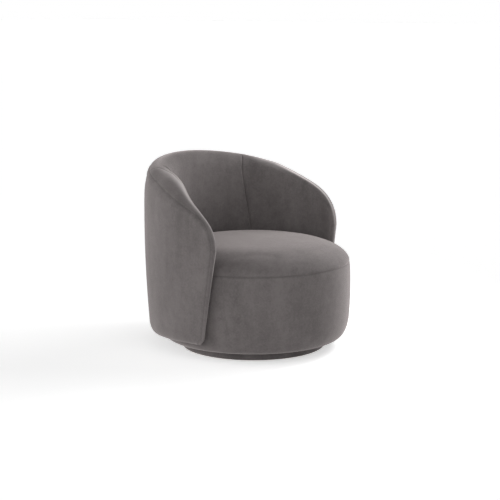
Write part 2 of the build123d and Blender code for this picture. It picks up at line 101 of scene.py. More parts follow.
class Graph:
    """The node tree of one material, or of the world."""

    def __init__(self, owner: Union[bpy.types.Material, bpy.types.World]) -> None:
        """Starts with an empty tree.

        Args:
            owner: The material or world that the tree belongs to.
        """
        owner.use_nodes = True
        self.owner = owner
        self.tree = owner.node_tree
        self.tree.nodes.clear()

    @classmethod
    def of_material(cls, name: str) -> "Graph":
        """The empty tree of a new material."""
        return cls(bpy.data.materials.new(name))

    def node(
        self,
        kind: str,
        settings: Optional[Dict[str, object]] = None,
        inputs: Optional[Dict[Union[str, int], object]] = None,
        output: Optional[Union[str, int]] = 0,
    ) -> Optional[Value]:
        """Adds a node.

        Args:
            kind: The node's type.
            settings: Its own settings, or the stops of a colour ramp.
            inputs: Numbers, colours or values for its sockets.
            output: The output to use, if any.

        Returns:
            That output as a value.
        """
        made = self.tree.nodes.new(kind)
        for key, setting in (settings or {}).items():
            if key == "stops":
                self._set_stops(made.color_ramp, setting)
            else:
                setattr(made, key, setting)
        for key, given in (inputs or {}).items():
            if isinstance(given, Value):
                self.tree.links.new(given.socket, made.inputs[key])
            elif isinstance(given, tuple) and made.inputs[key].type == "RGBA":
                made.inputs[key].default_value = (*given, 1.0)
            else:
                made.inputs[key].default_value = given
        return None if output is None else Value(self, made.outputs[output])

    @staticmethod
    def _set_stops(ramp: bpy.types.ColorRamp, stops: Sequence[Tuple[float, float]]) -> None:
        """Sets a ramp's grey stops.

        Args:
            ramp: The colour ramp.
            stops: Place and grey of each stop, from 0 to 1.
        """
        while len(ramp.elements) < len(stops):
            ramp.elements.new(1.0)
        for element, (place, grey) in zip(ramp.elements, stops):
            element.position = place
            element.color = (grey, grey, grey, 1.0)

    def place(self) -> Value:
        """Object coordinates, in metres."""
        return self.node("ShaderNodeTexCoord", output="Object")

    def attribute(self, name: str) -> Value:
        """A number that the piece's own mesh carries."""
        return self.node("ShaderNodeAttribute", {"attribute_name": name}, output="Fac")

    def stretched(self, place: Value, scale: Point, turn: Point = (0.0, 0.0, 0.0)) -> Value:
        """Coordinates scaled and turned for a pattern with a direction."""
        inputs = {"Vector": place, "Scale": scale, "Rotation": turn}
        return self.node("ShaderNodeMapping", None, inputs)

    def noise(self, place: Value, scale: float, detail: float = 2.0, roughness: float = 0.5) -> Value:
        """Soft noise, from 0 to 1."""
        inputs = {"Vector": place, "Scale": scale, "Detail": detail, "Roughness": roughness}
        return self.node("ShaderNodeTexNoise", None, inputs)

    def bands(self, place: Value, scale: float, direction: str) -> Value:
        """Even bands across one direction, from 0 to 1."""
        inputs = {"Vector": place, "Scale": scale}
        return self.node("ShaderNodeTexWave", {"bands_direction": direction}, inputs)

    def ramp(self, value: Value, stops: Sequence[Tuple[float, float]]) -> Value:
        """A value passed through a grey ramp."""
        return self.node("ShaderNodeValToRGB", {"stops": stops}, {"Fac": value})

    def mixed(self, factor: Number, first: Shade, second: Shade) -> Value:
        """A mix of two colours, by the Mix node's colour sockets."""
        return self.node("ShaderNodeMix", {"data_type": "RGBA"}, {0: factor, 6: first, 7: second}, 2)

    def bump(self, height: Value, distance: float, strength: float) -> Value:
        """A bumped normal from a height.

        Args:
            height: The height, about 0 to 1.
            distance: What a height of 1 stands for, in metres.
            strength: How strongly it shows.

        Returns:
            The normal.
        """
        inputs = {"Height": height, "Distance": distance, "Strength": strength}
        return self.node("ShaderNodeBump", None, inputs)

    def surface(self, **sockets: object) -> bpy.types.Material:
        """Ends the graph in a Principled surface.

        Args:
            sockets: Values for its sockets, with _ for the spaces in their names.

        Returns:
            The finished material.
        """
        inputs = {key.replace("_", " "): given for key, given in sockets.items()}
        return self.end(self.node("ShaderNodeBsdfPrincipled", None, inputs))

    def end(self, shader: Value) -> Union[bpy.types.Material, bpy.types.World]:
        """Links a shader to the output.

        Args:
            shader: The finished shader.

        Returns:
            The material or world that the tree belongs to.
        """
        world = isinstance(self.owner, bpy.types.World)
        kind = "ShaderNodeOutputWorld" if world else "ShaderNodeOutputMaterial"
        self.node(kind, None, {"Surface": shader}, None)
        return self.owner


# Finishes


@dataclass(frozen=True)
class Velvet:
    """Grey short-pile velvet with brushed marks and a soft sheen."""

    name: str = "grey_velvet"
    deep: Colour = (0.100, 0.0895, 0.0885)
    pale: Colour = (0.157, 0.1415, 0.140)
    # Painted highlight: the pale colour laid along the arm ridges in place of their sheen highlight.
    highlight_colour: Colour = (0.52, 0.485, 0.48)
    roughness: float = 0.78
    roughness_spread: float = 0.14
    specular: float = 0.25
    sheen: float = 0.6
    sheen_roughness: float = 0.45
    sheen_tint: Colour = (0.88, 0.80, 0.79)
    brush_scale: float = 5.5
    brush_share: float = 0.24
    brush_stretch: Point = (1.0, 1.0, 0.55)
    stroke_scale: float = 16.0
    stroke_share: float = 0.20
    stroke_stretch: Point = (1.0, 1.0, 0.22)
    stroke_turn: Point = (0.5, 0.65, 0.0)
    mottle_scale: float = 38.0
    mottle_share: float = 0.18
    mottle_height: float = 0.5
    fleck_scale: float = 150.0
    fleck_share: float = 0.20
    pile_scale: float = 1500.0
    pile_share: float = 0.18
    pile_height: float = 0.0005
    pile_strength: float = 0.35
    contrast: Tuple[Tuple[float, float], ...] = ((0.42, 0.0), (0.58, 1.0))
    # Painted shade in the seam grooves: how strongly it shows, and how dark it is.
    seam_shade: float = 0.35
    seam_tone: float = 0.45

    def material(self) -> bpy.types.Material:
        """Makes the velvet, with a painted highlight along the arm ridges and painted shade in its seams.

        Returns:
            The material.
        """
        graph = Graph.of_material(self.name)
        place = graph.place()
        along_brush = graph.stretched(place, self.brush_stretch)
        along_stroke = graph.stretched(place, self.stroke_stretch, self.stroke_turn)
        brushed = graph.noise(along_brush, self.brush_scale, detail=3.0, roughness=0.55)
        stroked = graph.noise(along_stroke, self.stroke_scale, detail=3.0, roughness=0.6)
        mottle = graph.noise(place, self.mottle_scale, detail=4.0, roughness=0.65)
        fleck = graph.noise(place, self.fleck_scale, detail=3.0, roughness=0.7)
        pile = graph.noise(place, self.pile_scale, detail=2.0, roughness=0.6)
        shades = (
            self.brush_share * brushed
            + self.stroke_share * stroked
            + self.mottle_share * mottle
            + self.fleck_share * fleck
            + self.pile_share * pile
        )
        cloth = graph.mixed(graph.ramp(shades, self.contrast), self.deep, self.pale)
        # Painted highlight: paler colour mixed in along the arm ridges.
        highlighted_cloth = graph.mixed(graph.attribute("painted_highlight"), cloth, self.highlight_colour)
        # Painted shade: the seams are darkened towards a deep shadow colour.
        seam_shadow_colour = tuple(self.seam_tone * part for part in self.deep)
        sewn = graph.mixed(graph.attribute("seam") * self.seam_shade, highlighted_cloth, seam_shadow_colour)
        height = pile + self.mottle_height * mottle
        return graph.surface(
            Base_Color=sewn,
            Roughness=self.roughness + self.roughness_spread * pile,
            Normal=graph.bump(height, self.pile_height, self.pile_strength),
            Sheen_Weight=self.sheen,
            Sheen_Roughness=self.sheen_roughness,
            Sheen_Tint=self.sheen_tint,
            Specular_IOR_Level=self.specular,
        )


@dataclass(frozen=True)
class Cloth:
    """A plain woven or matted cloth of the inside and underside."""

    name: str
    deep: Colour
    pale: Colour
    thread_scale: float
    thread_share: float = 0.7
    thread_height: float = 0.0004
    thread_strength: float = 0.5
    lint_scale: float = 900.0
    lint_share: float = 0.3
    lint_height: float = 0.4
    roughness: float = 0.9
    roughness_spread: float = 0.1
    specular: float = 0.2

    def material(self) -> bpy.types.Material:
        """Makes the cloth, with its threads and lint.

        Returns:
            The material.
        """
        graph = Graph.of_material(self.name)
        place = graph.place()
        across = graph.bands(place, self.thread_scale, "X")
        along = graph.bands(place, self.thread_scale, "Y")
        lint = graph.noise(place, self.lint_scale, detail=3.0)
        weave = 0.5 * across + 0.5 * along
        tone = self.thread_share * weave + self.lint_share * lint
        height = weave + self.lint_height * lint
        return graph.surface(
            Base_Color=graph.mixed(tone, self.deep, self.pale),
            Roughness=self.roughness - self.roughness_spread * lint,
            Normal=graph.bump(height, self.thread_height, self.thread_strength),
            Specular_IOR_Level=self.specular,
        )


@dataclass(frozen=True)
class Wood:
    """Plywood or hardboard with grain, and veneers where its layers show."""

    name: str
    deep: Colour
    pale: Colour
    grain_scale: float
    veneer_scale: float
    grain_stretch: Point = (1.0, 14.0, 1.0)
    grain_share: float = 0.6
    grain_height: float = 0.0004
    grain_strength: float = 0.3
    fibre_scale: float = 420.0
    fibre_share: float = 0.2
    fibre_height: float = 0.5
    veneer_share: float = 0.2
    contrast: Tuple[Tuple[float, float], ...] = ((0.25, 0.0), (0.75, 1.0))
    roughness: float = 0.55
    roughness_spread: float = 0.25
    specular: float = 0.35

    def material(self) -> bpy.types.Material:
        """Makes the board, with grain along it and veneers through it.

        Returns:
            The material.
        """
        graph = Graph.of_material(self.name)
        place = graph.place()
        along_grain = graph.stretched(place, self.grain_stretch)
        grain = graph.noise(along_grain, self.grain_scale, detail=6.0, roughness=0.65)
        fibre = graph.noise(place, self.fibre_scale, detail=3.0)
        veneer = graph.bands(place, self.veneer_scale, "Z")
        tone = self.grain_share * grain + self.fibre_share * fibre + self.veneer_share * veneer
        height = grain + self.fibre_height * fibre
        return graph.surface(
            Base_Color=graph.mixed(graph.ramp(tone, self.contrast), self.deep, self.pale),
            Roughness=self.roughness + self.roughness_spread * fibre,
            Normal=graph.bump(height, self.grain_height, self.grain_strength),
            Specular_IOR_Level=self.specular,
        )


@dataclass(frozen=True)
class Metal:
    """Pressed, plated or polished steel."""

    name: str
    deep: Colour
    pale: Colour
    roughness: float
    streak_scale: float
    streak_stretch: Point = (1.0, 1.0, 18.0)
    streak_height: float = 0.00006
    streak_strength: float = 0.4
    stain_scale: float = 26.0
    roughness_spread: float = 0.16

    def material(self) -> bpy.types.Material:
        """Makes the metal, with fine streaks and faint stains.

        Returns:
            The material.
        """
        graph = Graph.of_material(self.name)
        place = graph.place()
        along_streak = graph.stretched(place, self.streak_stretch)
        streaks = graph.noise(along_streak, self.streak_scale, detail=4.0, roughness=0.6)
        stains = graph.noise(place, self.stain_scale, detail=4.0, roughness=0.6)
        return graph.surface(
            Base_Color=graph.mixed(0.5 * streaks + 0.5 * stains, self.deep, self.pale),
            Metallic=1.0,
            Roughness=self.roughness + self.roughness_spread * streaks,
            Normal=graph.bump(streaks, self.streak_height, self.streak_strength),
        )


@dataclass(frozen=True)
class Nylon:
    """Moulded off-white nylon."""

    name: str = "moulded_nylon"
    deep: Colour = (0.50, 0.48, 0.43)
    pale: Colour = (0.66, 0.64, 0.58)
    cloud_scale: float = 60.0
    grain_scale: float = 1400.0
    grain_height: float = 0.00008
    grain_strength: float = 0.3
    roughness: float = 0.42
    roughness_spread: float = 0.12

    def material(self) -> bpy.types.Material:
        """Makes the nylon, slightly cloudy and with a fine moulded grain.

        Returns:
            The material.
        """
        graph = Graph.of_material(self.name)
        place = graph.place()
        cloud = graph.noise(place, self.cloud_scale, detail=3.0)
        grain = graph.noise(place, self.grain_scale, detail=2.0)
        return graph.surface(
            Base_Color=graph.mixed(cloud, self.deep, self.pale),
            Roughness=self.roughness + self.roughness_spread * grain,
            Normal=graph.bump(grain, self.grain_height, self.grain_strength),
        )


class Finish(Enum):
    """The finishes of the chair by name."""

    VELVET = Velvet()
    FELT = Cloth("grey_felt", (0.035, 0.034, 0.034), (0.085, 0.083, 0.08), 350.0)
    WEBBING = Cloth("jute_webbing", (0.20, 0.13, 0.07), (0.36, 0.26, 0.15), 240.0)
    DUST_CLOTH = Cloth("black_dust_cloth", (0.010, 0.010, 0.011), (0.030, 0.030, 0.032), 420.0)
    PLYWOOD = Wood("birch_plywood", (0.42, 0.27, 0.14), (0.63, 0.46, 0.28), 7.0, 260.0)
    HARDBOARD = Wood("brown_hardboard", (0.13, 0.075, 0.04), (0.22, 0.135, 0.075), 30.0, 40.0)
    PRESSED_STEEL = Metal("pressed_steel", (0.20, 0.20, 0.21), (0.34, 0.34, 0.35), 0.38, 14.0)
    BRIGHT_STEEL = Metal("bright_steel", (0.52, 0.52, 0.53), (0.68, 0.68, 0.68), 0.12, 40.0)
    ZINC = Metal("zinc_plate", (0.45, 0.46, 0.47), (0.62, 0.62, 0.60), 0.28, 30.0)
    NYLON = Nylon()


class Palette:
    """Makes each finish's material once."""

    def __init__(self) -> None:
        """Starts with no materials."""
        self._made: Dict[Finish, bpy.types.Material] = {}

    def dress(self, piece: bpy.types.Object, finish: Finish) -> None:
        """Gives a piece a finish on all its slots.

        Args:
            piece: The piece.
            finish: The finish, whose material is made when it is first used.
        """
        if finish not in self._made:
            self._made[finish] = finish.value.material()
        if not piece.material_slots:
            piece.data.materials.append(None)
        for slot in piece.material_slots:
            slot.material = self._made[finish]


# Making meshes


class Bench:
    """Blender's modelling tools, used the same way for every piece."""

    lathe_merge: float = 1e-5
    cover_merge: float = 2e-5
    swell_steps: int = 20
    swell_evening: int = 24
    least_hold: float = 0.01
    cloth: Dict[str, float] = {
        "mass": 0.35,
        "tension_stiffness": 25.0,
        "compression_stiffness": 25.0,
        "shear_stiffness": 8.0,
        "bending_stiffness": 4.0,
    }

    @staticmethod
    def pick(piece: bpy.types.Object) -> None:
        """Selects one piece and makes it active.

        Args:
            piece: The piece.
        """
        bpy.ops.object.select_all(action="DESELECT")
        piece.select_set(True)
        bpy.context.view_layer.objects.active = piece

    @staticmethod
    def lay(name: str, points: np.ndarray, outward: np.ndarray) -> bpy.types.Object:
        """Lays a grid primitive over rows of points.

        Args:
            name: The piece's name.
            points: Rows of columns of points, in metres.
            outward: A direction for each point that its front faces.

        Returns:
            The sheet, with its front outwards.
        """
        rows, columns = points.shape[:2]
        bpy.ops.object.select_all(action="DESELECT")
        bpy.ops.mesh.primitive_grid_add(x_subdivisions=columns - 1, y_subdivisions=rows - 1, size=1.0)
        piece = bpy.context.active_object
        piece.name = piece.data.name = name
        piece.data.vertices.foreach_set("co", points.reshape(-1).astype(np.float32))
        piece.data.update()
        facing = sum(
            polygon.normal.dot(Vector(outward.reshape(-1, 3)[polygon.vertices[0]]))
            for polygon in piece.data.polygons
        )
        if facing < 0:
            bpy.ops.object.mode_set(mode="EDIT")
            bpy.ops.mesh.select_all(action="SELECT")
            bpy.ops.mesh.flip_normals()
            bpy.ops.object.mode_set(mode="OBJECT")
        return piece

    @staticmethod
    def mark(piece: bpy.types.Object, name: str, values: np.ndarray) -> None:
        """Stores a number for each point of a piece."""
        kept = piece.data.attributes.new(name, "FLOAT", "POINT")
        kept.data.foreach_set("value", values.reshape(-1).astype(np.float32))

    @classmethod
    def lathe(cls, name: str, profile: Profile, segments: int, closed: bool) -> bpy.types.Object:
        """Turns a profile by extruding a circle from point to point.

        Args:
            name: The piece's name.
            profile: Radius and height of each point, in order.
            segments: Points round the circle.
            closed: Whether the last ring joins the first.

        Returns:
            The turned piece, with its front outwards.
        """
        bpy.ops.object.select_all(action="DESELECT")
        radius, height = profile[0]
        bpy.ops.mesh.primitive_circle_add(vertices=segments, radius=radius, location=(0, 0, 0))
        piece = bpy.context.active_object
        piece.name = piece.data.name = name
        bpy.ops.object.mode_set(mode="EDIT")
        bpy.ops.mesh.select_all(action="SELECT")
        bpy.ops.transform.translate(value=(0, 0, height))
        for (before, below), (after, above) in zip(profile, profile[1:]):
            bpy.ops.mesh.extrude_edges_move(TRANSFORM_OT_translate={"value": (0, 0, above - below)})
            share = after / before
            bpy.ops.transform.resize(value=(share, share, 1), center_override=(0, 0, above))
        bpy.ops.mesh.select_all(action="SELECT")
        if closed:
            bpy.ops.mesh.remove_doubles(threshold=cls.lathe_merge)
        bpy.ops.mesh.normals_make_consistent(inside=False)
        bpy.ops.object.mode_set(mode="OBJECT")
        return piece

    @classmethod
    def join(cls, name: str, pieces: Sequence[bpy.types.Object]) -> bpy.types.Object:
        """Joins pieces into the first of them.

        Args:
            name: The name of the whole.
            pieces: The pieces to join.

        Returns:
            The joined piece.
        """
        cls.pick(pieces[0])
        for piece in pieces:
            piece.select_set(True)
        bpy.ops.object.join()
        joined = bpy.context.active_object
        joined.name = joined.data.name = name
        return joined

    @classmethod
    def apply(cls, piece: bpy.types.Object, kind: str, **settings: object) -> None:
        """Adds a modifier and applies it.

        Args:
            piece: The piece.
            kind: The modifier's type.
            settings: Its settings by name.
        """
        modifier = piece.modifiers.new(kind.lower(), kind)
        for key, setting in settings.items():
            setattr(modifier, key, setting)
        cls.pick(piece)
        bpy.ops.object.modifier_apply(modifier=modifier.name)

    @classmethod
    def swell(cls, piece: bpy.types.Object, held: np.ndarray, pressure: float, most: float) -> None:
        """Lets a sewn cover fill out under pressure, held at its seams.

        Args:
            piece: The cover, a sheet with its front outwards.
            held: How firmly each point is held, from 0 to 1.
            pressure: The pressure behind the cover.
            most: How far a point may move, outwards only, in metres.
        """
        rest = cls.points(piece)
        outward = np.array([normal.vector for normal in piece.data.vertex_normals])
        sewn = piece.vertex_groups.new(name="sewn")
        for index, weight in enumerate(held.reshape(-1)):
            if weight > cls.least_hold:
                sewn.add([index], float(weight), "REPLACE")
        cover = piece.modifiers.new("cover", "CLOTH")
        for key, setting in cls.cloth.items():
            setattr(cover.settings, key, setting)
        cover.settings.use_pressure = True
        cover.settings.uniform_pressure_force = pressure
        cover.settings.vertex_group_mass = sewn.name
        cover.settings.effector_weights.gravity = 0.0
        cover.point_cache.frame_start = 1
        cover.point_cache.frame_end = cls.swell_steps
        for step in range(1, cls.swell_steps + 1):
            bpy.context.scene.frame_set(step)
        cls.pick(piece)
        bpy.ops.object.modifier_apply(modifier=cover.name)
        piece.vertex_groups.clear()
        bpy.context.scene.frame_set(1)
        free = 1 - np.clip(held.reshape(-1, 1), 0, 1)
        moved = cls.evened(piece, cls.points(piece) - rest, cls.swell_evening) * free
        moved -= outward * np.minimum(0, np.sum(moved * outward, axis=1, keepdims=True))
        length = np.linalg.norm(moved, axis=1, keepdims=True) + TINY
        capped = rest + moved * (most * np.tanh(length / most) / length)
        piece.data.vertices.foreach_set("co", capped.reshape(-1).astype(np.float32))
        piece.data.update()
        LOG.info("%s swelled by up to %.1f mm", piece.name, 1000 * float(np.max(length)))

    @staticmethod
    def evened(piece: bpy.types.Object, values: np.ndarray, rounds: int) -> np.ndarray:
        """Evens out values at a piece's points.

        Args:
            piece: The piece.
            values: A row of numbers for each point.
            rounds: How many times each point is averaged with its neighbours.

        Returns:
            The values, without ripples from point to point.
        """
        ends = np.zeros(2 * len(piece.data.edges), np.int32)
        piece.data.edges.foreach_get("vertices", ends)
        first, second = ends.reshape(-1, 2).T
        neighbours = np.bincount(ends, minlength=len(values))[:, None]
        for _ in range(rounds):
            total = np.zeros_like(values)
            np.add.at(total, first, values[second])
            np.add.at(total, second, values[first])
            values = (values + total / neighbours) / 2
        return values

    @staticmethod
    def points(piece: bpy.types.Object) -> np.ndarray:
        """Reads the points of a piece's mesh.

        Args:
            piece: The piece.

        Returns:
            A row for each point, in metres.
        """
        flat = np.zeros(len(piece.data.vertices) * 3, np.float32)
        piece.data.vertices.foreach_get("co", flat)
        return flat.reshape(-1, 3).astype(float)

    @classmethod
    def thicken(cls, piece: bpy.types.Object, thickness: float) -> None:
        """Closes a sheet into a cover of its thickness, behind its front, and smooths its shading.

        Args:
            piece: The sheet.
            thickness: The cover's thickness, in metres.
        """
        cls.pick(piece)
        bpy.ops.object.mode_set(mode="EDIT")
        bpy.ops.mesh.select_all(action="SELECT")
        bpy.ops.mesh.remove_doubles(threshold=cls.cover_merge)
        bpy.ops.object.mode_set(mode="OBJECT")
        cls.apply(piece, "SOLIDIFY", thickness=thickness, offset=-1.0, use_rim=True)
        cls.smooth(piece)

    @classmethod
    def smooth(cls, piece: bpy.types.Object, angle: float = 50.0) -> None:
        """Smooths shading, except across edges sharper than an angle in degrees."""
        cls.pick(piece)
        bpy.ops.object.shade_smooth_by_angle(angle=math.radians(angle))


def graded(count: int, near: Sequence[float], length: float, both: bool) -> np.ndarray:
    """Places from 0 to 1 that crowd towards a seam.

    Args:
        count: How many even steps lie between the crowded ones.
        near: Distances of the crowded places from the seam, in metres.
        length: The length that 1 stands for, in metres.
        both: Whether the far end is a seam too.

    Returns:
        The places in order.
    """
    start = [step / length for step in near]
    end = [1 - step for step in reversed(start)] if both else [1.0]
    middle = np.linspace(start[-1], end[0], count + 1)[1:-1]
    return np.array([*start, *middle, *end])


def normals(points: np.ndarray) -> np.ndarray:
    """Unit normals of a sheet.

    Args:
        points: Rows of columns of points.

    Returns:
        A normal for each point, all to one side of the sheet.
    """
    across = np.gradient(points, axis=1)
    down = np.gradient(points, axis=0)
    crossed = np.cross(across, down)
    return crossed / (np.linalg.norm(crossed, axis=2, keepdims=True) + TINY)


def turned(exact: np.ndarray, rough: np.ndarray) -> np.ndarray:
    """Normals turned round wherever they point against a rough direction."""
    return exact * np.where(np.sum(exact * rough, axis=2, keepdims=True) < 0, -1.0, 1.0)


def closeness(distance: np.ndarray, width: float) -> np.ndarray:
    """1 at a seam, falling evenly to 0 at a width from it."""
    return np.clip(1 - distance / width, 0, 1)


def runs(line: np.ndarray) -> np.ndarray:
    """Distance of each point of a line from its start, along the line."""
    steps = np.linalg.norm(np.diff(line, axis=0), axis=1)
    return np.concatenate([[0], np.cumsum(steps)])


def sewn_in(distance: np.ndarray, depth: float, width: float) -> np.ndarray:
    """How far a cover draws in near a seam at a distance from it."""
    return depth * closeness(distance, width) ** 2


@dataclass
class Cover:
    """One sewn cover: its points, how its seams hold it, and what it stands for."""

    name: str
    points: np.ndarray
    facing: np.ndarray
    held: np.ndarray
    marks: Dict[str, np.ndarray]
    swelling: float
    nodes: Sequence[str]
    thickness: float = 0.004
    pressure: float = 4.0
    fill: float = 0.85

    def make(self, palette: Palette) -> bpy.types.Object:
        """Lays the cover, lets it fill out, thickens it and dresses it in velvet."""
        return self.finish(Bench.lay(self.name, self.points, self.facing), palette)

    def finish(self, piece: bpy.types.Object, palette: Palette) -> bpy.types.Object:
        """Fills out, thickens, dresses and declares a cover that is laid already.

        Args:
            piece: The laid sheet.
            palette: Where its velvet comes from.

        Returns:
            The finished cover.
        """
        for mark, values in self.marks.items():
            Bench.mark(piece, mark, values)
        Bench.swell(piece, self.held, self.pressure, self.swelling)
        Bench.thicken(piece, self.thickness)
        palette.dress(piece, Finish.VELVET)
        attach(piece, "chair")
        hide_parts(*self.nodes)
        return piece


# Shape of the back and arm wall


def eased(angle: np.ndarray, start: float, end: float) -> np.ndarray:
    """1 round the back as far as the start angle, falling smoothly to 0 at the end angle."""
    share = np.clip((end - np.abs(angle)) / (end - start), 0, 1)
    return share * share * (3 - 2 * share)


@dataclass(frozen=True)
class WallSizes:
    """Sizes of the wall in metres, and angles from the back centre in degrees."""

    shell_radius: float = 0.4058
    middle_radius: float = 0.3857
    wall_inside: float = 0.3655
    hem_radius: float = 0.3695
    wall_taper: float = 0.0143
    belly_height: float = 0.480
    shell_bottom: float = 0.061
    foot_top: float = 0.112
    foot_lift: float = 0.013
    lift_start: float = 35.0
    lift_end: float = 100.0
    seat_seam: float = 0.325
    ledge_high: float = 0.370
    back_height: float = 0.710
    arm_drop: float = 0.088
    arm_slope_start: float = 66.0
    arm_fall: float = 0.03175
    slope_power: float = 1.5
    pad_thickness: float = 0.095
    front_thickness: float = 0.042
    thin_start: float = 70.0
    thin_end: float = 100.0
    edge_taper: float = 0.015
    edge_taper_reach: float = 0.12
    taper_power: float = 1.5
    hem_thickness: float = 0.006
    inner_roll_back: float = 0.0475
    inner_roll_arm: float = 0.012
    roll_start: float = 46.0
    roll_end: float = 64.0
    roll_height_back: float = 0.045
    roll_height_front: float = 0.020
    lens_height: float = 0.015
    lens_start: float = 48.0
    shoulder_fall: float = 0.0075
    shoulder_reach: float = 0.07
    shoulder_start: float = 40.0
    shoulder_end: float = 75.0
    pad_bulge: float = 0.009
    front_bulge: float = 0.0015
    nose_start: float = 87.0
    nose_crown: Tuple[float, float] = (101.85, 0.540)
    nose_front: Tuple[float, float] = (107.75, 0.497)
    nose_end: Tuple[float, float] = (107.75, 0.415)
    front_angle: float = 107.3
    front_angle_height: float = 0.400
    front_rake: float = 22.0
    corner_radius: float = 0.036


class Wall:
    """The wall's surfaces, as functions of the angle round it and the height."""

    def __init__(self, sizes: WallSizes) -> None:
        """Keeps the sizes and works out the free edge."""
        self.sizes = sizes
        self.edge = Edge(self)

    def crest(self, angle: np.ndarray) -> np.ndarray:
        """Height of the top of the wall.

        Args:
            angle: Angles from the back centre, in degrees.

        Returns:
            The heights.
        """
        s = self.sizes
        away = np.abs(angle)
        sweep = s.arm_drop * (1 - np.cos(np.radians(away)))
        sloped = np.maximum(0, away - s.arm_slope_start) / (s.nose_start - s.arm_slope_start)
        return s.back_height - sweep - s.arm_fall * sloped**s.slope_power

    def fullness(self, angle: np.ndarray) -> np.ndarray:
        """How fully the wall is padded: 1 round the back and 0 at the front edges."""
        return eased(angle, self.sizes.thin_start, self.sizes.thin_end)

    def roll_height(self, angle: np.ndarray) -> np.ndarray:
        """How far below the crest the roll meets the outside.

        Args:
            angle: Angles from the back centre, in degrees.

        Returns:
            The heights of the roll.
        """
        s = self.sizes
        share = np.clip((np.abs(angle) - s.lens_start) / (s.thin_end - s.lens_start), 0, 1)
        lens = s.lens_height * np.sin(np.pi * share) ** 2
        growth = (s.roll_height_back - s.roll_height_front) * self.fullness(angle)
        return s.roll_height_front + growth + lens

    def inner_roll(self, angle: np.ndarray) -> np.ndarray:
        """Radius of the roll between the crest and the inside face."""
        s, rounder = self.sizes, eased(angle, self.sizes.roll_start, self.sizes.roll_end)
        return s.inner_roll_arm + (s.inner_roll_back - s.inner_roll_arm) * rounder

    def front_angle(self, height: np.ndarray) -> np.ndarray:
        """Angle of the straight front edge at a height."""
        s = self.sizes
        return s.front_angle + s.front_rake * (height - s.front_angle_height)

    def bottom(self, angle: np.ndarray) -> np.ndarray:
        """Height of the hem, which rises a little towards the front edges."""
        s = self.sizes
        return s.shell_bottom + s.foot_lift * (1 - eased(angle, s.lift_start, s.lift_end))

    def outside(self, angle: np.ndarray, height: np.ndarray) -> np.ndarray:
        """Radius of the outside of the wall, rounded in at its foot and towards its roll.

        Args:
            angle: Angles from the back centre, in degrees.
            height: Heights above the floor.

        Returns:
            The radii.
        """
        s = self.sizes
        belly = (height - s.belly_height) / (s.foot_top - s.belly_height)
        side = s.shell_radius - s.wall_taper * belly**2
        start = self.crest(angle) - self.roll_height(angle) - s.shoulder_reach
        rise = np.clip((height - start) / s.shoulder_reach, 0, 1)
        side = side - s.shoulder_fall * eased(angle, s.shoulder_start, s.shoulder_end) * rise**2
        foot_radius = s.shell_radius - s.wall_taper
        share = np.clip((s.foot_top - height) / (s.foot_top - self.bottom(angle)), 0, 1)
        foot = s.hem_radius + (foot_radius - s.hem_radius) * np.sqrt(1 - share**2)
        return np.where(height < s.foot_top, foot, side)

    def inside(self, angle: np.ndarray, height: np.ndarray) -> np.ndarray:
        """Radius of the inside face, padded above the seat, upright behind it and thin at the front edge.

        Args:
            angle: Angles from the back centre, in degrees.
            height: Heights above the floor.

        Returns:
            The radii.
        """
        s = self.sizes
        full = self.fullness(angle)
        crest = self.crest(angle)
        thickness = s.front_thickness + (s.pad_thickness - s.front_thickness) * full
        top_radius = self.outside(angle, crest - self.roll_height(angle)) - thickness
        top_height = crest - self.inner_roll(angle)
        ledge = (s.wall_inside + top_radius) / 2
        share = np.clip((height - s.ledge_high) / (top_height - s.ledge_high), 0, 1)
        bulge = s.front_bulge + (s.pad_bulge - s.front_bulge) * full
        face = ledge + (top_radius - ledge) * share - 4 * bulge * share * (1 - share)
        low = np.clip((height - s.seat_seam) / (s.ledge_high - s.seat_seam), 0, 1)
        radius = np.where(height > s.ledge_high, face, s.wall_inside + (ledge - s.wall_inside) * low)
        behind = np.radians(self.front_angle(height) - np.abs(angle)) * s.middle_radius
        thinned = radius + s.edge_taper * closeness(behind, s.edge_taper_reach) ** s.taper_power
        return np.minimum(thinned, self.outside(angle, height) - s.hem_thickness)

    def at(self, radius: np.ndarray, arc: np.ndarray, height: np.ndarray) -> np.ndarray:
        """Points from the radius, the arc round the wall's middle and the height."""
        turn = arc / self.sizes.middle_radius
        return np.stack([radius * np.sin(turn), radius * np.cos(turn), height], axis=-1)

    def angle(self, arc: np.ndarray) -> np.ndarray:
        """The angle in degrees of an arc round the wall's middle."""
        return np.degrees(arc / self.sizes.middle_radius)


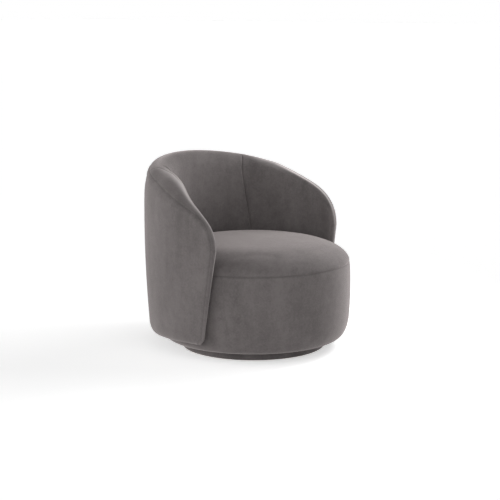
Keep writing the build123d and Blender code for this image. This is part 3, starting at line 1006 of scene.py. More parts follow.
class Edge:
    """The wall's free edge on one side: along the crest, round the nose and down the front to the hem."""

    step: float = 0.0015
    evening: int = 19
    corner_taper: float = 1.5
    least_inner: float = 0.15
    crest_points: int = 260
    nose_points: int = 100
    front_points: int = 160
    corner_points: int = 40

    def __init__(self, wall: Wall) -> None:
        """Lays out the edge and how far the roll reaches back from it on either side.

        Args:
            wall: The wall, whose sizes and crest are ready.
        """
        s = wall.sizes
        self.degree = math.radians(1) * s.middle_radius
        points = self._line(wall)
        run = runs(points)
        self.length = float(run[-1])
        self.run = np.linspace(0, self.length, round(self.length / self.step))
        self.arc = np.interp(self.run, run, points[:, 0])
        self.height = np.interp(self.run, run, points[:, 1])
        tangent = np.gradient(np.stack([self.arc, self.height], axis=1), axis=0)
        window = np.hanning(self.evening) / np.hanning(self.evening).sum()
        padded = np.pad(tangent, ((self.evening // 2, self.evening // 2), (0, 0)), mode="edge")
        tangent = np.stack([np.convolve(padded[:, i], window, "valid") for i in (0, 1)], axis=1)
        tangent /= np.linalg.norm(tangent, axis=1, keepdims=True)
        self.out = np.stack([-tangent[:, 1], tangent[:, 0]], axis=1)
        angle = np.where(self.height > s.nose_end[1], wall.angle(self.arc), s.thin_end)
        remaining = (self.length - self.run) / (self.corner_taper * s.corner_radius)
        taper = np.sqrt(np.clip(remaining, 0, 1))
        self.outer_drop = wall.roll_height(angle) * taper
        self.inner_drop = wall.inner_roll(angle) * (self.least_inner + (1 - self.least_inner) * taper)
        self.nose_run = float(np.interp(-s.nose_front[1], -self.height, self.run))

    def _line(self, wall: Wall) -> np.ndarray:
        """Lays closely spaced points along the edge, with the nose as a cubic curve.

        Args:
            wall: The wall.

        Returns:
            Arc and height of each point.
        """
        s = wall.sizes
        top = np.linspace(0, s.nose_start, self.crest_points)
        crest = np.stack([top * self.degree, wall.crest(top)], axis=1)
        corners = (s.nose_crown, s.nose_front, s.nose_end)
        crown, front, end = (np.array([angle * self.degree, height]) for angle, height in corners)
        share = np.linspace(0, 1, self.nose_points)[1:, None]
        rest = 1 - share
        bend = 3 * rest**2 * share * crown + 3 * rest * share**2 * front
        nose = rest**3 * crest[-1] + bend + share**3 * end
        foot = wall.bottom(s.lift_end) + s.corner_radius
        heights = np.linspace(s.nose_end[1], foot, self.front_points)[1:]
        line = np.stack([wall.front_angle(heights) * self.degree, heights], axis=1)
        turn = np.linspace(0, math.pi / 2, self.corner_points)[1:]
        centre = line[-1] - np.array([s.corner_radius, 0])
        corner = centre + s.corner_radius * np.stack([np.cos(turn), -np.sin(turn)], axis=1)
        return np.concatenate([crest, nose, line, corner])

    def at_angle(self, angle: float) -> float:
        """How far along the edge an angle on the crest lies."""
        rising = int(np.argmax(self.arc))
        return float(np.interp(angle * self.degree, self.arc[:rising], self.run[:rising]))

    def read(self, run: np.ndarray, values: np.ndarray) -> np.ndarray:
        """Reads values along the edge.

        Args:
            run: Distances from the back centre, on either side.
            values: A number or a row of numbers for each point of the edge.

        Returns:
            The values at those distances.
        """
        away = np.abs(run)
        if values.ndim == 1:
            return np.interp(away, self.run, values)
        return np.stack([np.interp(away, self.run, column) for column in values.T], axis=-1)

    def offset(self, run: np.ndarray, back: np.ndarray) -> Tuple[np.ndarray, np.ndarray]:
        """Arc and height of points set back from the edge.

        Args:
            run: Distances along the edge, negative on the left.
            back: How far behind the edge, in metres.

        Returns:
            The arcs and the heights.
        """
        side = np.sign(run) + (run == 0)
        out = self.read(run, self.out)
        arc = self.read(run, self.arc) - back * out[..., 0]
        height = self.read(run, self.height) - back * out[..., 1]
        return side * arc, height


# Upholstery


SEAM_STEPS: Tuple[float, ...] = (0.0, 0.001, 0.0022, 0.0038, 0.006, 0.009, 0.013, 0.019)
NARROW_STEPS: Tuple[float, ...] = SEAM_STEPS[:6]
HEM_ROWS: Tuple[float, ...] = (0.97, 0.982, 0.991, 0.997, 1.0)
UP: np.ndarray = np.array([0.0, 0.0, 1.0])


@dataclass
class BackUpholstery:
    """The covers of the wall: outside, inside back, inside arms and arm facings.

    Lengths are in metres, angles in degrees from the back centre, and shares go over the roll from 0 at the
    outside to 1 at the inside face.
    """

    wall: Wall
    palette: Palette
    spacing: float = 0.011
    arm_spacing: float = 0.009
    outside_rows: int = 46
    hem_start: float = 0.955
    outside_roll_rows: int = 4
    outside_roll_length: float = 0.025
    roll_rows: int = 18
    roll_length: float = 0.15
    face_rows: int = 56
    lens_rows: int = 8
    lens_length: float = 0.06
    seam_width: float = 0.010
    # Width of the painted shade along each seam.
    seam_shade_width: float = 0.004
    held_width: float = 0.012
    outer_depth: float = 0.003
    front_depth: float = 0.0016
    corner_depth: float = 0.0004
    depth_turn: float = 88.0
    depth_end: float = 0.06
    upright_depth: float = 0.0026
    ridge_depth: float = 0.0024
    ridge_plain: float = 66.0
    ridge_faint: float = 76.0
    ridge_rest: float = 0.12
    outer_share: float = 0.20
    nose_share: float = 0.26
    front_share: float = 0.14
    nose_turn: float = 94.0
    nose_top: float = 101.5
    nose_reach: float = 0.04
    tip_angle: float = 47.0
    tip_length: float = 6.0
    ridge_share: float = 0.50
    upright_angle: float = 45.0
    upright_foot: float = 60.5
    upright_share: float = 0.6
    fade_start: float = 0.56
    fade_length: float = 0.12
    outside_foot: float = 72.0
    arm_foot: float = 80.0
    outside_swelling: float = 0.002
    back_swelling: float = 0.004
    arm_swelling: float = 0.003
    # Where, how wide and how strong the painted highlight along the arm ridges lies.
    highlight_angles: Tuple[float, ...] = (50, 58, 70, 82, 92, 100)
    highlight_widths: Tuple[float, ...] = (0.012, 0.020, 0.018, 0.011, 0.007, 0.005, 0.004, 0.004)
    highlight_amounts: Tuple[float, ...] = (0.2, 0.6, 1.0, 1.0, 0.7, 0.5, 0.35, 0.0)

    def _roll(self, run: np.ndarray, share: np.ndarray) -> np.ndarray:
        """Points over the roll of the wall's edge.

        Args:
            run: Distances along the edge.
            share: From 0 at the outside over 0.5 at the crest to 1 at the inside face.

        Returns:
            The points.
        """
        edge, wall = self.wall.edge, self.wall
        outer_drop = edge.read(run, edge.outer_drop)
        inner_drop = edge.read(run, edge.inner_drop)
        outer_arc, outer_height = edge.offset(run, outer_drop)
        inner_arc, inner_height = edge.offset(run, inner_drop)
        outer = wall.outside(wall.angle(outer_arc), outer_height)
        inner = wall.inside(wall.angle(inner_arc), inner_height)
        crest = inner + inner_drop
        turn = np.pi * share
        outwards = share <= 0.5
        back = np.where(outwards, outer_drop, inner_drop) * (1 - np.sin(turn))
        radius = crest + np.where(outwards, outer - crest, crest - inner) * np.cos(turn)
        arc, height = edge.offset(run, back)
        return wall.at(radius, arc, height)

    def _face(self, run: np.ndarray, foot: np.ndarray, rows: np.ndarray) -> np.ndarray:
        """Points down the inside face from the roll to the hem.

        Args:
            run: Distances along the edge of each column.
            foot: The angle of each column at the hem, in degrees.
            rows: Places from 0 at the roll to 1 at the hem.

        Returns:
            The points, in rows.
        """
        wall, edge, s = self.wall, self.wall.edge, self.wall.sizes
        top_arc, top_height = edge.offset(run, edge.read(run, edge.inner_drop))
        foot_arc = np.radians(foot) * s.middle_radius
        share = rows[:, None]
        arc = (1 - share) * top_arc + share * foot_arc
        height = (1 - share) * top_height + share * wall.bottom(foot)
        return wall.at(wall.inside(wall.angle(arc), height), arc, height)

    def _outer_seam(self, run: np.ndarray) -> np.ndarray:
        """Where the outer seam lies on the roll.

        Args:
            run: Distances along the edge.

        Returns:
            The shares of the roll.
        """
        edge = self.wall.edge
        turn, top = edge.at_angle(self.nose_turn), edge.at_angle(self.nose_top)
        places = [0, turn, top, edge.nose_run + self.nose_reach]
        shares = [self.outer_share, self.outer_share, self.nose_share, self.front_share]
        return np.interp(np.abs(run), places, shares)

    def _inner_seam(self, run: np.ndarray) -> np.ndarray:
        """Where the facing's inner seam lies on the roll: it leaves the outer seam at its tip for the ridge.

        Args:
            run: Distances along the edge.

        Returns:
            The shares of the roll.
        """
        edge = self.wall.edge
        tip, full = edge.at_angle(self.tip_angle), edge.at_angle(self.tip_angle + self.tip_length)
        share = np.clip((np.abs(run) - tip) / (full - tip), 0, 1)
        outer = self._outer_seam(run)
        return outer + (self.ridge_share - outer) * (1 - (1 - share) ** 3)

    def _upright_seam(self, share: np.ndarray) -> np.ndarray:
        """Where the seam between back and arm crosses the roll.

        Args:
            share: Shares of the roll.

        Returns:
            Distances along the edge.
        """
        edge = self.wall.edge
        tip, top = edge.at_angle(self.tip_angle), edge.at_angle(self.upright_angle)
        over = (share - self.outer_share) / (self.upright_share - self.outer_share)
        return tip + (top - tip) * np.clip(over, 0, 1)

    def _radial(self, points: np.ndarray) -> np.ndarray:
        """Level directions from the axis out to each point."""
        flat = points * np.array([1.0, 1.0, 0.0])
        return flat / (np.linalg.norm(flat, axis=-1, keepdims=True) + TINY)

    def _facing(self, points: np.ndarray, share: np.ndarray) -> np.ndarray:
        """Unit normals to the side of a cover that shows.

        Args:
            points: The cover's points, over the roll and down the inside face.
            share: Shares of the roll, for the rows that lie on it.

        Returns:
            A normal for each point.
        """
        below = np.ones((len(points) - len(share), points.shape[1]))
        turn = np.pi * np.concatenate([share, below])[..., None]
        rough = self._radial(points) * np.cos(turn) + UP * np.sin(turn)
        exact = turned(normals(points), rough)
        collapsed = np.linalg.norm(exact, axis=2, keepdims=True) < 0.5
        return np.where(collapsed, rough, exact)

    @staticmethod
    def _down(points: np.ndarray) -> np.ndarray:
        """Distance of each point from the first row, along its column."""
        steps = np.linalg.norm(np.diff(points, axis=0), axis=2)
        return np.concatenate([np.zeros((1, points.shape[1])), np.cumsum(steps, axis=0)])

    def _depth(self, run: np.ndarray) -> np.ndarray:
        """How deep the outer seam is sewn in: less down the front edges, and hardly at all at their foot.

        Args:
            run: Distances along the edge.

        Returns:
            The depths.
        """
        edge = self.wall.edge
        places = [edge.at_angle(self.depth_turn), edge.nose_run, edge.length - self.depth_end, edge.length]
        depths = [self.outer_depth, self.front_depth, self.front_depth, self.corner_depth]
        return np.interp(np.abs(run), places, depths)

    def _outer_marks(self, run: np.ndarray, below: np.ndarray) -> Tuple[np.ndarray, np.ndarray]:
        """How a cover is drawn in along the outer seam, and darkened there with painted shade.

        Args:
            run: Distances along the edge of each column.
            below: Each point's distance from the outer seam.

        Returns:
            The depth of each point, and its painted seam shade from 0 to 1.
        """
        depth = self._depth(run)
        drawn = depth * sewn_in(below, 1.0, self.seam_width)
        return drawn, closeness(below, self.seam_shade_width) * depth / self.outer_depth

    def outside_back(self) -> bpy.types.Object:
        """Makes the cover round the outside of the wall, from the outer seam to the hem.

        Returns:
            The cover.
        """
        wall, edge = self.wall, self.wall.edge
        run = np.linspace(-1, 1, 2 * round(edge.length / self.spacing) + 1) * edge.length
        over = graded(self.outside_roll_rows, NARROW_STEPS, self.outside_roll_length, False)[:-1, None]
        share = self._outer_seam(run) * (1 - over)
        roll = self._roll(np.broadcast_to(run, share.shape), share)
        top_arc, top_height = edge.offset(run, edge.read(run, edge.outer_drop))
        feet = [0, self.outside_foot, wall.angle(edge.arc[-1])]
        foot = np.interp(np.abs(run), [0, edge.nose_run, edge.length], feet)
        foot_arc = np.sign(run) * np.radians(foot) * wall.sizes.middle_radius
        rows = np.concatenate([np.linspace(0, self.hem_start, self.outside_rows), HEM_ROWS])[:, None]
        arc = (1 - rows) * top_arc + rows * foot_arc
        height = (1 - rows) * top_height + rows * wall.bottom(foot)
        face = wall.at(wall.outside(wall.angle(arc), height), arc, height)
        points = np.concatenate([roll, face])
        below = self._down(points)
        facing = turned(normals(points), self._radial(points))
        # The outer seam is drawn in, and darkened with painted shade.
        depth, painted_seam_shade = self._outer_marks(run, below)
        return Cover(
            "outside_back_velvet",
            points - facing * depth[..., None],
            facing,
            closeness(below, self.held_width),
            {"seam": painted_seam_shade},
            self.outside_swelling,
            ["outside_back_cover"],
        ).make(self.palette)

    def inside_back(self) -> bpy.types.Object:
        """Makes the middle panel of the inside, carried over the crest to the outer seam.

        Returns:
            The cover.
        """
        edge = self.wall.edge
        reach = edge.at_angle(self.upright_angle)
        across = 2 * graded(round(2 * reach / self.spacing), SEAM_STEPS, 2 * reach, True) - 1
        down = self._roll_rows()[:, None]
        share = self.outer_share + (1 - self.outer_share) * down * np.ones_like(across)
        roll = self._roll(across * self._upright_seam(share), share)
        face = self._face(across * reach, across * self.upright_foot, self._face_rows())
        points = np.concatenate([roll, face])
        facing = self._facing(points, share)
        below = self._down(points)
        side = np.broadcast_to((1 - np.abs(across)) * reach, below.shape)
        fade = self._upright_fade(share, len(points))
        depth = np.maximum(
            self.outer_depth * sewn_in(below, 1.0, self.seam_width),
            self.upright_depth * fade * sewn_in(side, 1.0, self.seam_width),
        )
        # Painted shade along the outer and upright seams.
        painted_seam_shade = np.maximum(closeness(below, self.seam_shade_width), fade * closeness(side, self.seam_shade_width))
        return Cover(
            "inside_back_velvet",
            points - facing * depth[..., None],
            facing,
            closeness(np.minimum(below, side), self.held_width),
            {"seam": painted_seam_shade},
            self.back_swelling,
            ["inside_back_cover", "back_foam"],
        ).make(self.palette)

    def _roll_rows(self) -> np.ndarray:
        """Places over the roll of the rows of the inside covers, crowded at the outer seam."""
        return graded(self.roll_rows, NARROW_STEPS, self.roll_length, False)

    def _face_rows(self) -> np.ndarray:
        """Places down the inside face of the rows of the inside covers."""
        return np.linspace(0, 1, self.face_rows)[1:]

    def _upright_fade(self, share: np.ndarray, rows: int) -> np.ndarray:
        """How plainly the upright seam shows: it fades out where it goes over the crest to the tip."""
        over = np.clip((share - self.fade_start) / self.fade_length, 0, 1)
        return np.concatenate([over, np.ones((rows - len(share), share.shape[1]))])

    def arm(self, side: int) -> List[bpy.types.Object]:
        """Makes the inside panel of one arm, and its facing, which runs on as a strip down the front edge.

        Args:
            side: 1 for the right arm and -1 for the left.

        Returns:
            The two covers.
        """
        wall, edge = self.wall, self.wall.edge
        tip = edge.at_angle(self.tip_angle)
        span = edge.length - tip
        along = graded(round(span / self.arm_spacing), SEAM_STEPS, span, False)
        run = tip + span * along
        outer, inner = self._outer_seam(run), self._inner_seam(run)
        over = graded(self.lens_rows, NARROW_STEPS, self.lens_length, True)[:, None]
        lens_share = outer + (inner - outer) * over
        lens = self._roll(np.broadcast_to(side * run, lens_share.shape), lens_share)
        down = self._roll_rows()[1:, None]
        roll_share = inner + (1 - inner) * down
        start = self._upright_seam(self.outer_share + (1 - self.outer_share) * down)
        roll = self._roll(side * (start + along * (edge.length - start)), roll_share)
        top = edge.at_angle(self.upright_angle)
        columns = top + along * (edge.length - top)
        feet = [self.upright_foot, self.arm_foot, wall.angle(edge.arc[-1])]
        foot = np.interp(columns, [top, edge.nose_run, edge.length], feet)
        face = self._face(side * columns, side * foot, self._face_rows())
        points = np.concatenate([lens, roll, face])
        share = np.concatenate([lens_share, roll_share])
        facing = self._facing(points, share)
        below = self._down(points)
        last = len(over) - 1
        ridge = np.abs(below - below[last])
        upright = np.broadcast_to(along * span, below.shape)
        fade = self._upright_fade(share, len(points)) * (np.arange(len(points)) >= last)[:, None]
        bends = [edge.at_angle(self.ridge_plain), edge.at_angle(self.ridge_faint)]
        plain = np.interp(run, bends, [1.0, self.ridge_rest])
        depth, painted_seam_shade = self._outer_marks(run, below)
        for distance, deep, shown in (
            (ridge, self.ridge_depth, plain),
            (upright, self.upright_depth, fade),
        ):
            depth = np.maximum(depth, deep * shown * sewn_in(distance, 1.0, self.seam_width))
            # Painted shade along the ridge and upright seams.
            painted_seam_shade = np.maximum(painted_seam_shade, shown * closeness(distance, self.seam_shade_width))
        held = closeness(np.minimum(np.minimum(below, ridge), upright), self.held_width)
        # Painted highlight along the ridge, carried to the velvet as a mesh attribute.
        painted_highlight = self._painted_highlight(run, ridge)
        drawn = points - facing * depth[..., None]
        word = "right" if side > 0 else "left"
        facing_nodes = [f"arm_facing_{word}", f"front_edge_strip_{word}"]
        inside_nodes = [f"inside_arm_cover_{word}"]
        covers = []
        for name, rows, swelling, nodes in (
            (f"arm_facing_velvet_{word}", slice(0, last + 1), self.outside_swelling, facing_nodes),
            (f"inside_arm_velvet_{word}", slice(last, None), self.arm_swelling, inside_nodes),
        ):
            marks = {"seam": painted_seam_shade[rows], "painted_highlight": painted_highlight[rows]}
            cover = Cover(name, drawn[rows], facing[rows], held[rows], marks, swelling, nodes)
            covers.append(cover.make(self.palette))
        return covers

    def _painted_highlight(self, run: np.ndarray, ridge: np.ndarray) -> np.ndarray:
        """How strongly the painted highlight shows along the ridge of an arm, where the cover bends over it.

        Args:
            run: Distances along the edge of each column.
            ridge: Each point's distance from the ridge.

        Returns:
            The painted highlight's strength, from 0 to 1.
        """
        edge = self.wall.edge
        places = [*(edge.at_angle(angle) for angle in self.highlight_angles), edge.nose_run, edge.length]
        width = np.interp(run, places, self.highlight_widths)
        return np.interp(run, places, self.highlight_amounts) * np.exp(-((ridge / width) ** 2))

    def build(self) -> List[bpy.types.Object]:
        """Makes every cover of the wall."""
        return [self.outside_back(), self.inside_back(), *self.arm(1), *self.arm(-1)]


@dataclass
class SeatUpholstery:
    """The crowned top panel and the band of the seat drum, with the straps and the cloth that it holds.

    Lengths are in metres.
    """

    palette: Palette
    seam_radius: float = 0.361
    seam_height: float = 0.325
    crown_height: float = 0.402
    dome: float = 0.12
    dome_power: float = 5.0
    shoulder_power: float = 0.60
    crown_points: int = 1200
    panel_points: int = 600
    panel_cells: int = 62
    panel_swelling: float = 0.004
    belly_radius: float = 0.364
    belly_bow: float = 0.003
    side_foot: float = 0.130
    side_radius: float = 0.3605
    side_points: int = 22
    foot_radius: float = 0.316
    foot_points: int = 20
    bottom: float = 0.038
    hem_radius: float = 0.295
    hem_held: float = 0.01
    band_segments: int = 176
    band_swelling: float = 0.002
    band_pressure: float = 2.0
    seam_depth: float = 0.0034
    seam_width: float = 0.011
    # Width of the painted shade along the seam.
    seam_shade_width: float = 0.006
    held_width: float = 0.012
    strap_count: int = 5
    strap_width: float = 0.050
    strap_spacing: float = 0.090
    strap_reach: float = 0.302
    strap_height: float = 0.3206
    strap_lift: float = 0.0011
    strap_thickness: float = 0.0018
    strap_grid: Tuple[int, int] = (5, 81)
    dust_inside: float = 0.1506
    dust_outside: float = 0.2935
    dust_height: float = 0.0408
    dust_sag: float = 0.0012
    dust_thickness: float = 0.0006
    dust_rings: int = 13
    dust_segments: int = 128

    def _crown(self, count: int) -> np.ndarray:
        """Lays points from the middle of the seat out to the seam, evenly spaced.

        Args:
            count: How many points.

        Returns:
            Radius and height of each point.
        """
        share = np.sin(np.linspace(0, np.pi / 2, self.crown_points))
        fall = self.dome * share**2 + (1 - self.dome) * share**self.dome_power
        rise = (self.crown_height - self.seam_height) * (1 - fall) ** self.shoulder_power
        line = np.stack([self.seam_radius * share, self.seam_height + rise], axis=1)
        run = runs(line)
        even = np.linspace(0, run[-1], count)
        return np.stack([np.interp(even, run, line[:, i]) for i in (0, 1)], axis=1)

    def top_panel(self) -> bpy.types.Object:
        """Makes the crowned panel, a square grid drawn out to a disc so that its weave has no pole.

        Returns:
            The cover.
        """
        profile = self._crown(self.panel_points)
        length = float(runs(profile)[-1])
        places = 2 * graded(self.panel_cells, SEAM_STEPS, 2 * length, True) - 1
        across, along = np.meshgrid(places, places)
        disc_x = across * np.sqrt(1 - along**2 / 2)
        disc_y = along * np.sqrt(1 - across**2 / 2)
        away = np.hypot(disc_x, disc_y) + TINY
        steps = np.linspace(0, 1, self.panel_points)
        radius, height = (np.interp(away, steps, profile[:, i]) for i in (0, 1))
        points = np.stack([radius * disc_x / away, radius * disc_y / away, height], axis=2)
        upward = np.broadcast_to(UP, points.shape)
        distance = (1 - away) * length
        drawn_in = sewn_in(distance, self.seam_depth, self.seam_width)[..., None]
        return Cover(
            "seat_top_velvet",
            points - turned(normals(points), upward) * drawn_in,
            upward,
            closeness(distance, self.held_width),
            # Painted shade along the seam.
            {"seam": closeness(distance, self.seam_shade_width)},
            self.panel_swelling,
            ["seat_top_panel", "seat_foam"],
        ).make(self.palette)

    def band(self) -> bpy.types.Object:
        """Makes the band round the side of the drum, turned under at its foot.

        Returns:
            The cover.
        """
        side = np.linspace(self.seam_height, self.side_foot, self.side_points)
        middle = (self.seam_height + self.side_foot) / 2
        half = (self.seam_height - self.side_foot) / 2
        bow = self.belly_radius - self.belly_bow * ((side - middle) / half) ** 2
        turn = np.linspace(0, math.pi / 2, self.foot_points)[1:]
        foot_radius = self.foot_radius + (self.side_radius - self.foot_radius) * np.cos(turn)
        foot_height = self.side_foot - (self.side_foot - self.bottom) * np.sin(turn)
        crowded = np.array(SEAM_STEPS[:-1])
        radius = np.concatenate([np.full(len(crowded), bow[0]), bow[2:], foot_radius, [self.hem_radius]])
        height = np.concatenate([self.seam_height - crowded, side[2:], foot_height, [self.bottom]])
        line = np.stack([radius, height], axis=1)
        drop = runs(line)
        line[:, 0] -= sewn_in(drop, self.seam_depth, self.seam_width)
        profile = [tuple(point) for point in line]
        piece = Bench.lathe("seat_band_velvet", profile, self.band_segments, False)
        points = Bench.points(piece)
        below = np.interp(-points[:, 2], -line[:, 1], drop)
        return Cover(
            "seat_band_velvet",
            points,
            points,
            closeness(below, self.held_width) + (points[:, 2] < self.bottom + self.hem_held),
            # Painted shade along the seam.
            {"seam": closeness(below, self.seam_shade_width)},
            self.band_swelling,
            ["seat_band_cover", "drum_padding"],
            pressure=self.band_pressure,
        ).finish(piece, self.palette)

    def webbing(self) -> bpy.types.Object:
        """Makes five straps each way across the seat ring, woven over and under each other.

        Returns:
            The straps as one piece.
        """
        straps, length = [], 0.0
        cells, steps = self.strap_grid
        upward = np.broadcast_to(UP, (cells, steps, 3))
        offsets = (np.arange(self.strap_count) - (self.strap_count - 1) / 2) * self.strap_spacing
        for index, offset in enumerate(offsets):
            half = math.sqrt(self.strap_reach**2 - (abs(offset) + self.strap_width / 2) ** 2)
            length += 2 * 2 * half
            along = np.linspace(-half, half, steps)
            across = offset + np.linspace(-0.5, 0.5, cells)[:, None] * self.strap_width
            wave = np.cos(np.pi * along / self.strap_spacing) * (-1) ** index * self.strap_lift
            first, second, lift = (np.broadcast_to(part, self.strap_grid) for part in (along, across, wave))
            lengthwise = np.stack([first, second, self.strap_height + lift], axis=2)
            crosswise = np.stack([second, first, self.strap_height - lift], axis=2)
            straps += [Bench.lay("webbing_strap", points, upward) for points in (lengthwise, crosswise)]
        piece = Bench.join("webbing_straps", straps)
        Bench.thicken(piece, self.strap_thickness)
        self.palette.dress(piece, Finish.WEBBING)
        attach(piece, "chair")
        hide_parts("seat_webbing")
        return piece

    def dust_cloth(self) -> bpy.types.Object:
        """Makes the black cloth under the drum, which sags a little between the plate and the hem.

        Returns:
            The cloth.
        """
        places = np.linspace(0, 1, self.dust_rings)
        radius = self.dust_inside + (self.dust_outside - self.dust_inside) * places
        height = self.dust_height - self.dust_sag * np.sin(np.pi * places)
        piece = Bench.lathe("dust_cloth", list(zip(radius, height)), self.dust_segments, False)
        Bench.thicken(piece, self.dust_thickness)
        self.palette.dress(piece, Finish.DUST_CLOTH)
        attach(piece, "chair")
        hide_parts("dust_cover")
        return piece

    def build(self) -> List[bpy.types.Object]:
        """Makes the covers, straps and cloth of the drum."""
        return [self.top_panel(), self.band(), self.webbing(), self.dust_cloth()]


@dataclass
class Plinth:
    """The covered plinth, with its felt ring. Lengths are in metres."""

    palette: Palette
    radius: float = 0.269
    bottom: float = 0.003
    top: float = 0.028
    edge_round: float = 0.003
    edge_points: int = 6
    cloth: float = 0.0025
    bulge: float = 0.0008
    bulge_steps: int = 6
    segments: int = 144
    felt_inside: float = 0.2327
    felt_outside: float = 0.2507
    felt_height: float = 0.003
    felt_round: float = 0.0008
    felt_points: int = 5
    felt_segments: int = 128

    @staticmethod
    def _quarter(radius: float, height: float, bend: float, start: float, count: int) -> Profile:
        """Lays points round a quarter of a circle.

        Args:
            radius: The radius of its centre from the axis.
            height: The height of its centre.
            bend: The circle's own radius.
            start: Where it starts, in quarter turns from straight outwards.
            count: How many points.

        Returns:
            Radius and height of each point.
        """
        turns = (math.pi / 2) * (start + np.linspace(0, 1, count))
        return [(radius + bend * math.cos(turn), height + bend * math.sin(turn)) for turn in turns]

    def cover(self) -> bpy.types.Object:
        """Makes the velvet round the plinth, softly rounded over its boards' edges.

        Returns:
            The cover.
        """
        inside, centre = self.radius - self.cloth, self.radius - self.edge_round
        base, cap = self.bottom + self.edge_round, self.top - self.edge_round
        shares = [step / self.bulge_steps for step in range(1, self.bulge_steps)]
        profile = [
            (inside, self.bottom),
            *self._quarter(centre, base, self.edge_round, -1, self.edge_points),
            *((self.radius + self.bulge * math.sin(math.pi * t), base + (cap - base) * t) for t in shares),
            *self._quarter(centre, cap, self.edge_round, 0, self.edge_points),
            (inside, self.top),
            (inside, self.bottom),
        ]
        piece = Bench.lathe("plinth_velvet", profile, self.segments, True)
        Bench.smooth(piece)
        self.palette.dress(piece, Finish.VELVET)
        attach(piece, "base")
        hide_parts("plinth_cover")
        return piece

    def felt(self) -> bpy.types.Object:
        """Makes the felt ring that the plinth stands on, with soft edges.

        Returns:
            The ring.
        """
        soft = self.felt_round
        inner, outer = self.felt_inside + soft, self.felt_outside - soft
        top = self.felt_height - soft
        corners = ((outer, soft), (outer, top), (inner, top), (inner, soft))
        profile = []
        for start, (radius, height) in enumerate(corners, -1):
            profile += self._quarter(radius, height, soft, start, self.felt_points)
        piece = Bench.lathe("felt_ring", [*profile, profile[0]], self.felt_segments, True)
        Bench.smooth(piece)
        self.palette.dress(piece, Finish.FELT)
        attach(piece, "base")
        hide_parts("floor_ring")
        return piece

    def build(self) -> List[bpy.types.Object]:
        """Makes the cover and the felt of the plinth."""
        return [self.cover(), self.felt()]


# Hard parts that keep their CAD shape


NODE_FINISHES: Dict[Finish, Tuple[str, ...]] = {
    Finish.PLYWOOD: (
        "plinth_lower_board",
        "plinth_upper_board",
        "seat_base_board",
        "seat_ring",
        "back_panel",
    ),
    Finish.HARDBOARD: ("plinth_edge_band", "drum_wall"),
    Finish.PRESSED_STEEL: ("swivel_lower_plate", "swivel_upper_plate"),
    Finish.BRIGHT_STEEL: ("pivot_pin", "bearing_balls"),
    Finish.ZINC: (
        "plinth_board_screws",
        "lower_plate_screws",
        "upper_plate_screws",
        "pivot_washer",
        "pivot_lock_nut",
        "back_bolts",
        "back_bolt_washers",
        "back_tee_nuts",
    ),
    Finish.NYLON: ("ball_cage", "pivot_bush"),
}


def dress_hard_parts(palette: Palette) -> None:
    """Gives each part that keeps its CAD shape its finish.

    Args:
        palette: Where the finishes come from.
    """
    for finish, names in NODE_FINISHES.items():
        for name in names:
            palette.dress(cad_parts[name], finish)


# Studio


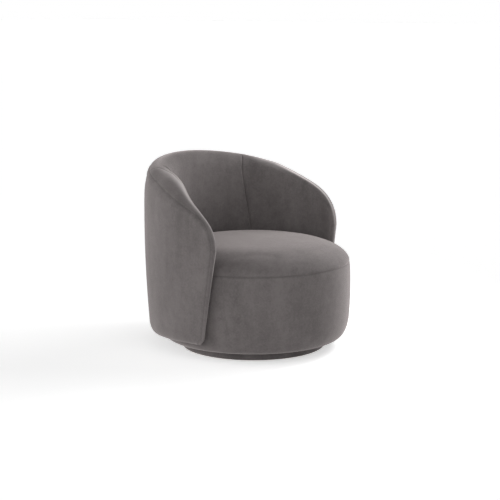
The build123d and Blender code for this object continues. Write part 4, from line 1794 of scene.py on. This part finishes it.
@dataclass
class Studio:
    """White floor, soft light and the photograph's camera, in metres and degrees."""

    azimuth: float = -52.5
    elevation: float = 10.11
    lens: float = 101.99
    sensor: float = 36.0
    place: Point = (-4.1566, -3.1733, 1.2923)
    left_light: float = 5.4
    left_focus: float = 8.0
    front_light: float = 1.85
    front_focus: float = 2.0
    top_light: float = 0.05
    top_focus: float = 2.0
    key_light: float = 0.9
    key_from: Point = (0.86, -0.47, 0.50)
    key_spread: float = 45.0
    soft_from: Point = (0.9, -0.5, 1.0)
    soft_towards: Point = (0.0, 0.15, 0.55)
    soft_size: float = 0.5
    soft_watts: float = 8.5
    floor_size: float = 120.0
    floor_deep: Colour = (0.94, 0.94, 0.94)
    floor_pale: Colour = (0.96, 0.96, 0.96)
    floor_cloud: float = 3.0
    floor_glow: float = 0.50

    @staticmethod
    def _stand(name: str, data: bpy.types.ID, place: Point, turn: Quaternion) -> bpy.types.Object:
        """Stands a lamp or camera in the scene.

        Args:
            name: Its name.
            data: The lamp or camera.
            place: Where it stands.
            turn: Which way it is turned.

        Returns:
            Its object.
        """
        stood = bpy.data.objects.new(name, data)
        bpy.context.scene.collection.objects.link(stood)
        stood.location = place
        stood.rotation_mode = "QUATERNION"
        stood.rotation_quaternion = turn
        return stood

    def camera(self) -> None:
        """Sets the camera at the photograph's viewing angle."""
        data = bpy.data.cameras.new("photo_camera")
        data.lens, data.sensor_width = self.lens, self.sensor
        turn, rise = math.radians(self.azimuth), math.radians(self.elevation)
        level = math.cos(rise)
        ahead = Vector((-math.sin(turn) * level, math.cos(turn) * level, -math.sin(rise)))
        camera = self._stand("photo_camera", data, self.place, ahead.to_track_quat("-Z", "Y"))
        bpy.context.scene.camera = camera

    def key(self) -> None:
        """Sets a broad soft lamp from the right front, half-way up."""
        data = bpy.data.lights.new("key_lamp", "SUN")
        data.energy, data.angle = self.key_light, math.radians(self.key_spread)
        self._stand("key_lamp", data, (0.0, 0.0, 0.0), Vector(self.key_from).to_track_quat("Z", "Y"))

    def softbox(self) -> None:
        """Sets a square soft lamp above the right front, which lights the inside of the back."""
        data = bpy.data.lights.new("softbox", "AREA")
        data.size, data.energy = self.soft_size, self.soft_watts
        away = Vector(self.soft_from) - Vector(self.soft_towards)
        self._stand("softbox", data, self.soft_from, away.to_track_quat("Z", "Y"))

    def world(self) -> None:
        """Sets a surround that lights from two sides and above, and is plain white where it is seen."""
        graph = Graph(bpy.data.worlds.new("white_studio"))
        turn = math.radians(self.azimuth)
        left = (-math.cos(turn), -math.sin(turn), 0.0)
        front = (math.sin(turn), -math.cos(turn), 0.0)
        sides = (
            (self.left_light, left, self.left_focus),
            (self.front_light, front, self.front_focus),
            (self.top_light, (0.0, 0.0, 1.0), self.top_focus),
        )
        light = sum((strength * self._towards(graph, side) ** focus for strength, side, focus in sides), 0.0)
        white = (1.0, 1.0, 1.0)
        lit = graph.node("ShaderNodeBackground", None, {"Color": white, "Strength": light})
        plain = graph.node("ShaderNodeBackground", None, {"Color": white, "Strength": 1.0})
        mix = graph.node("ShaderNodeMixShader", None, {0: self._seen(graph), 1: lit, 2: plain})
        bpy.context.scene.world = graph.end(mix)

    @staticmethod
    def _towards(graph: Graph, side: Point) -> Value:
        """How squarely a direction of the surround lies to one side.

        Args:
            graph: The surround's nodes.
            side: The direction of that side.

        Returns:
            The value, from 0 to 1.
        """
        direction = graph.node("ShaderNodeTexCoord", output="Generated")
        inputs = {0: direction, 1: side}
        return graph.node("ShaderNodeVectorMath", {"operation": "DOT_PRODUCT"}, inputs, "Value").at_least(0.0)

    @staticmethod
    def _seen(graph: Graph) -> Value:
        """Tells what is seen, straight or in a reflection or through glass, from what only gives light.

        Args:
            graph: The nodes of the floor or the surround.

        Returns:
            1 where it is seen, and otherwise 0.
        """
        camera, glossy, through = (
            graph.node("ShaderNodeLightPath", output=f"Is {kind} Ray")
            for kind in ("Camera", "Glossy", "Transmission")
        )
        return camera.at_least(glossy).at_least(through)

    def floor(self) -> None:
        """Lays a wide white floor that takes the chair's shadow lightly."""
        bpy.ops.object.select_all(action="DESELECT")
        bpy.ops.mesh.primitive_plane_add(size=self.floor_size, location=(0, 0, 0))
        floor = bpy.context.active_object
        floor.name = "studio_floor"
        graph = Graph.of_material("white_floor")
        cloud = graph.noise(graph.place(), self.floor_cloud, detail=2.0)
        colour = graph.mixed(cloud, self.floor_deep, self.floor_pale)
        shade = graph.node("ShaderNodeBsdfDiffuse", None, {"Color": colour})
        glow = graph.node("ShaderNodeEmission", None, {"Strength": self.floor_glow})
        white = graph.node("ShaderNodeAddShader", None, {0: shade, 1: glow})
        mix = graph.node("ShaderNodeMixShader", None, {0: self._seen(graph), 1: shade, 2: white})
        floor.data.materials.append(graph.end(mix))

    def build(self) -> None:
        """Sets the whole studio."""
        self.camera()
        self.world()
        self.floor()
        self.key()
        self.softbox()
        bpy.context.scene.view_settings.view_transform = "Standard"


def main() -> None:
    """Builds the chair's looks in order and reports each piece."""
    logging.basicConfig(level=logging.INFO, format="%(name)s: %(message)s")
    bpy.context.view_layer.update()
    palette = Palette()
    Studio().build()
    wall = Wall(WallSizes())
    for group in (BackUpholstery(wall, palette), SeatUpholstery(palette), Plinth(palette)):
        for piece in group.build():
            LOG.info("%s made", piece.name)
    dress_hard_parts(palette)


if __name__ == "__main__":
    main()
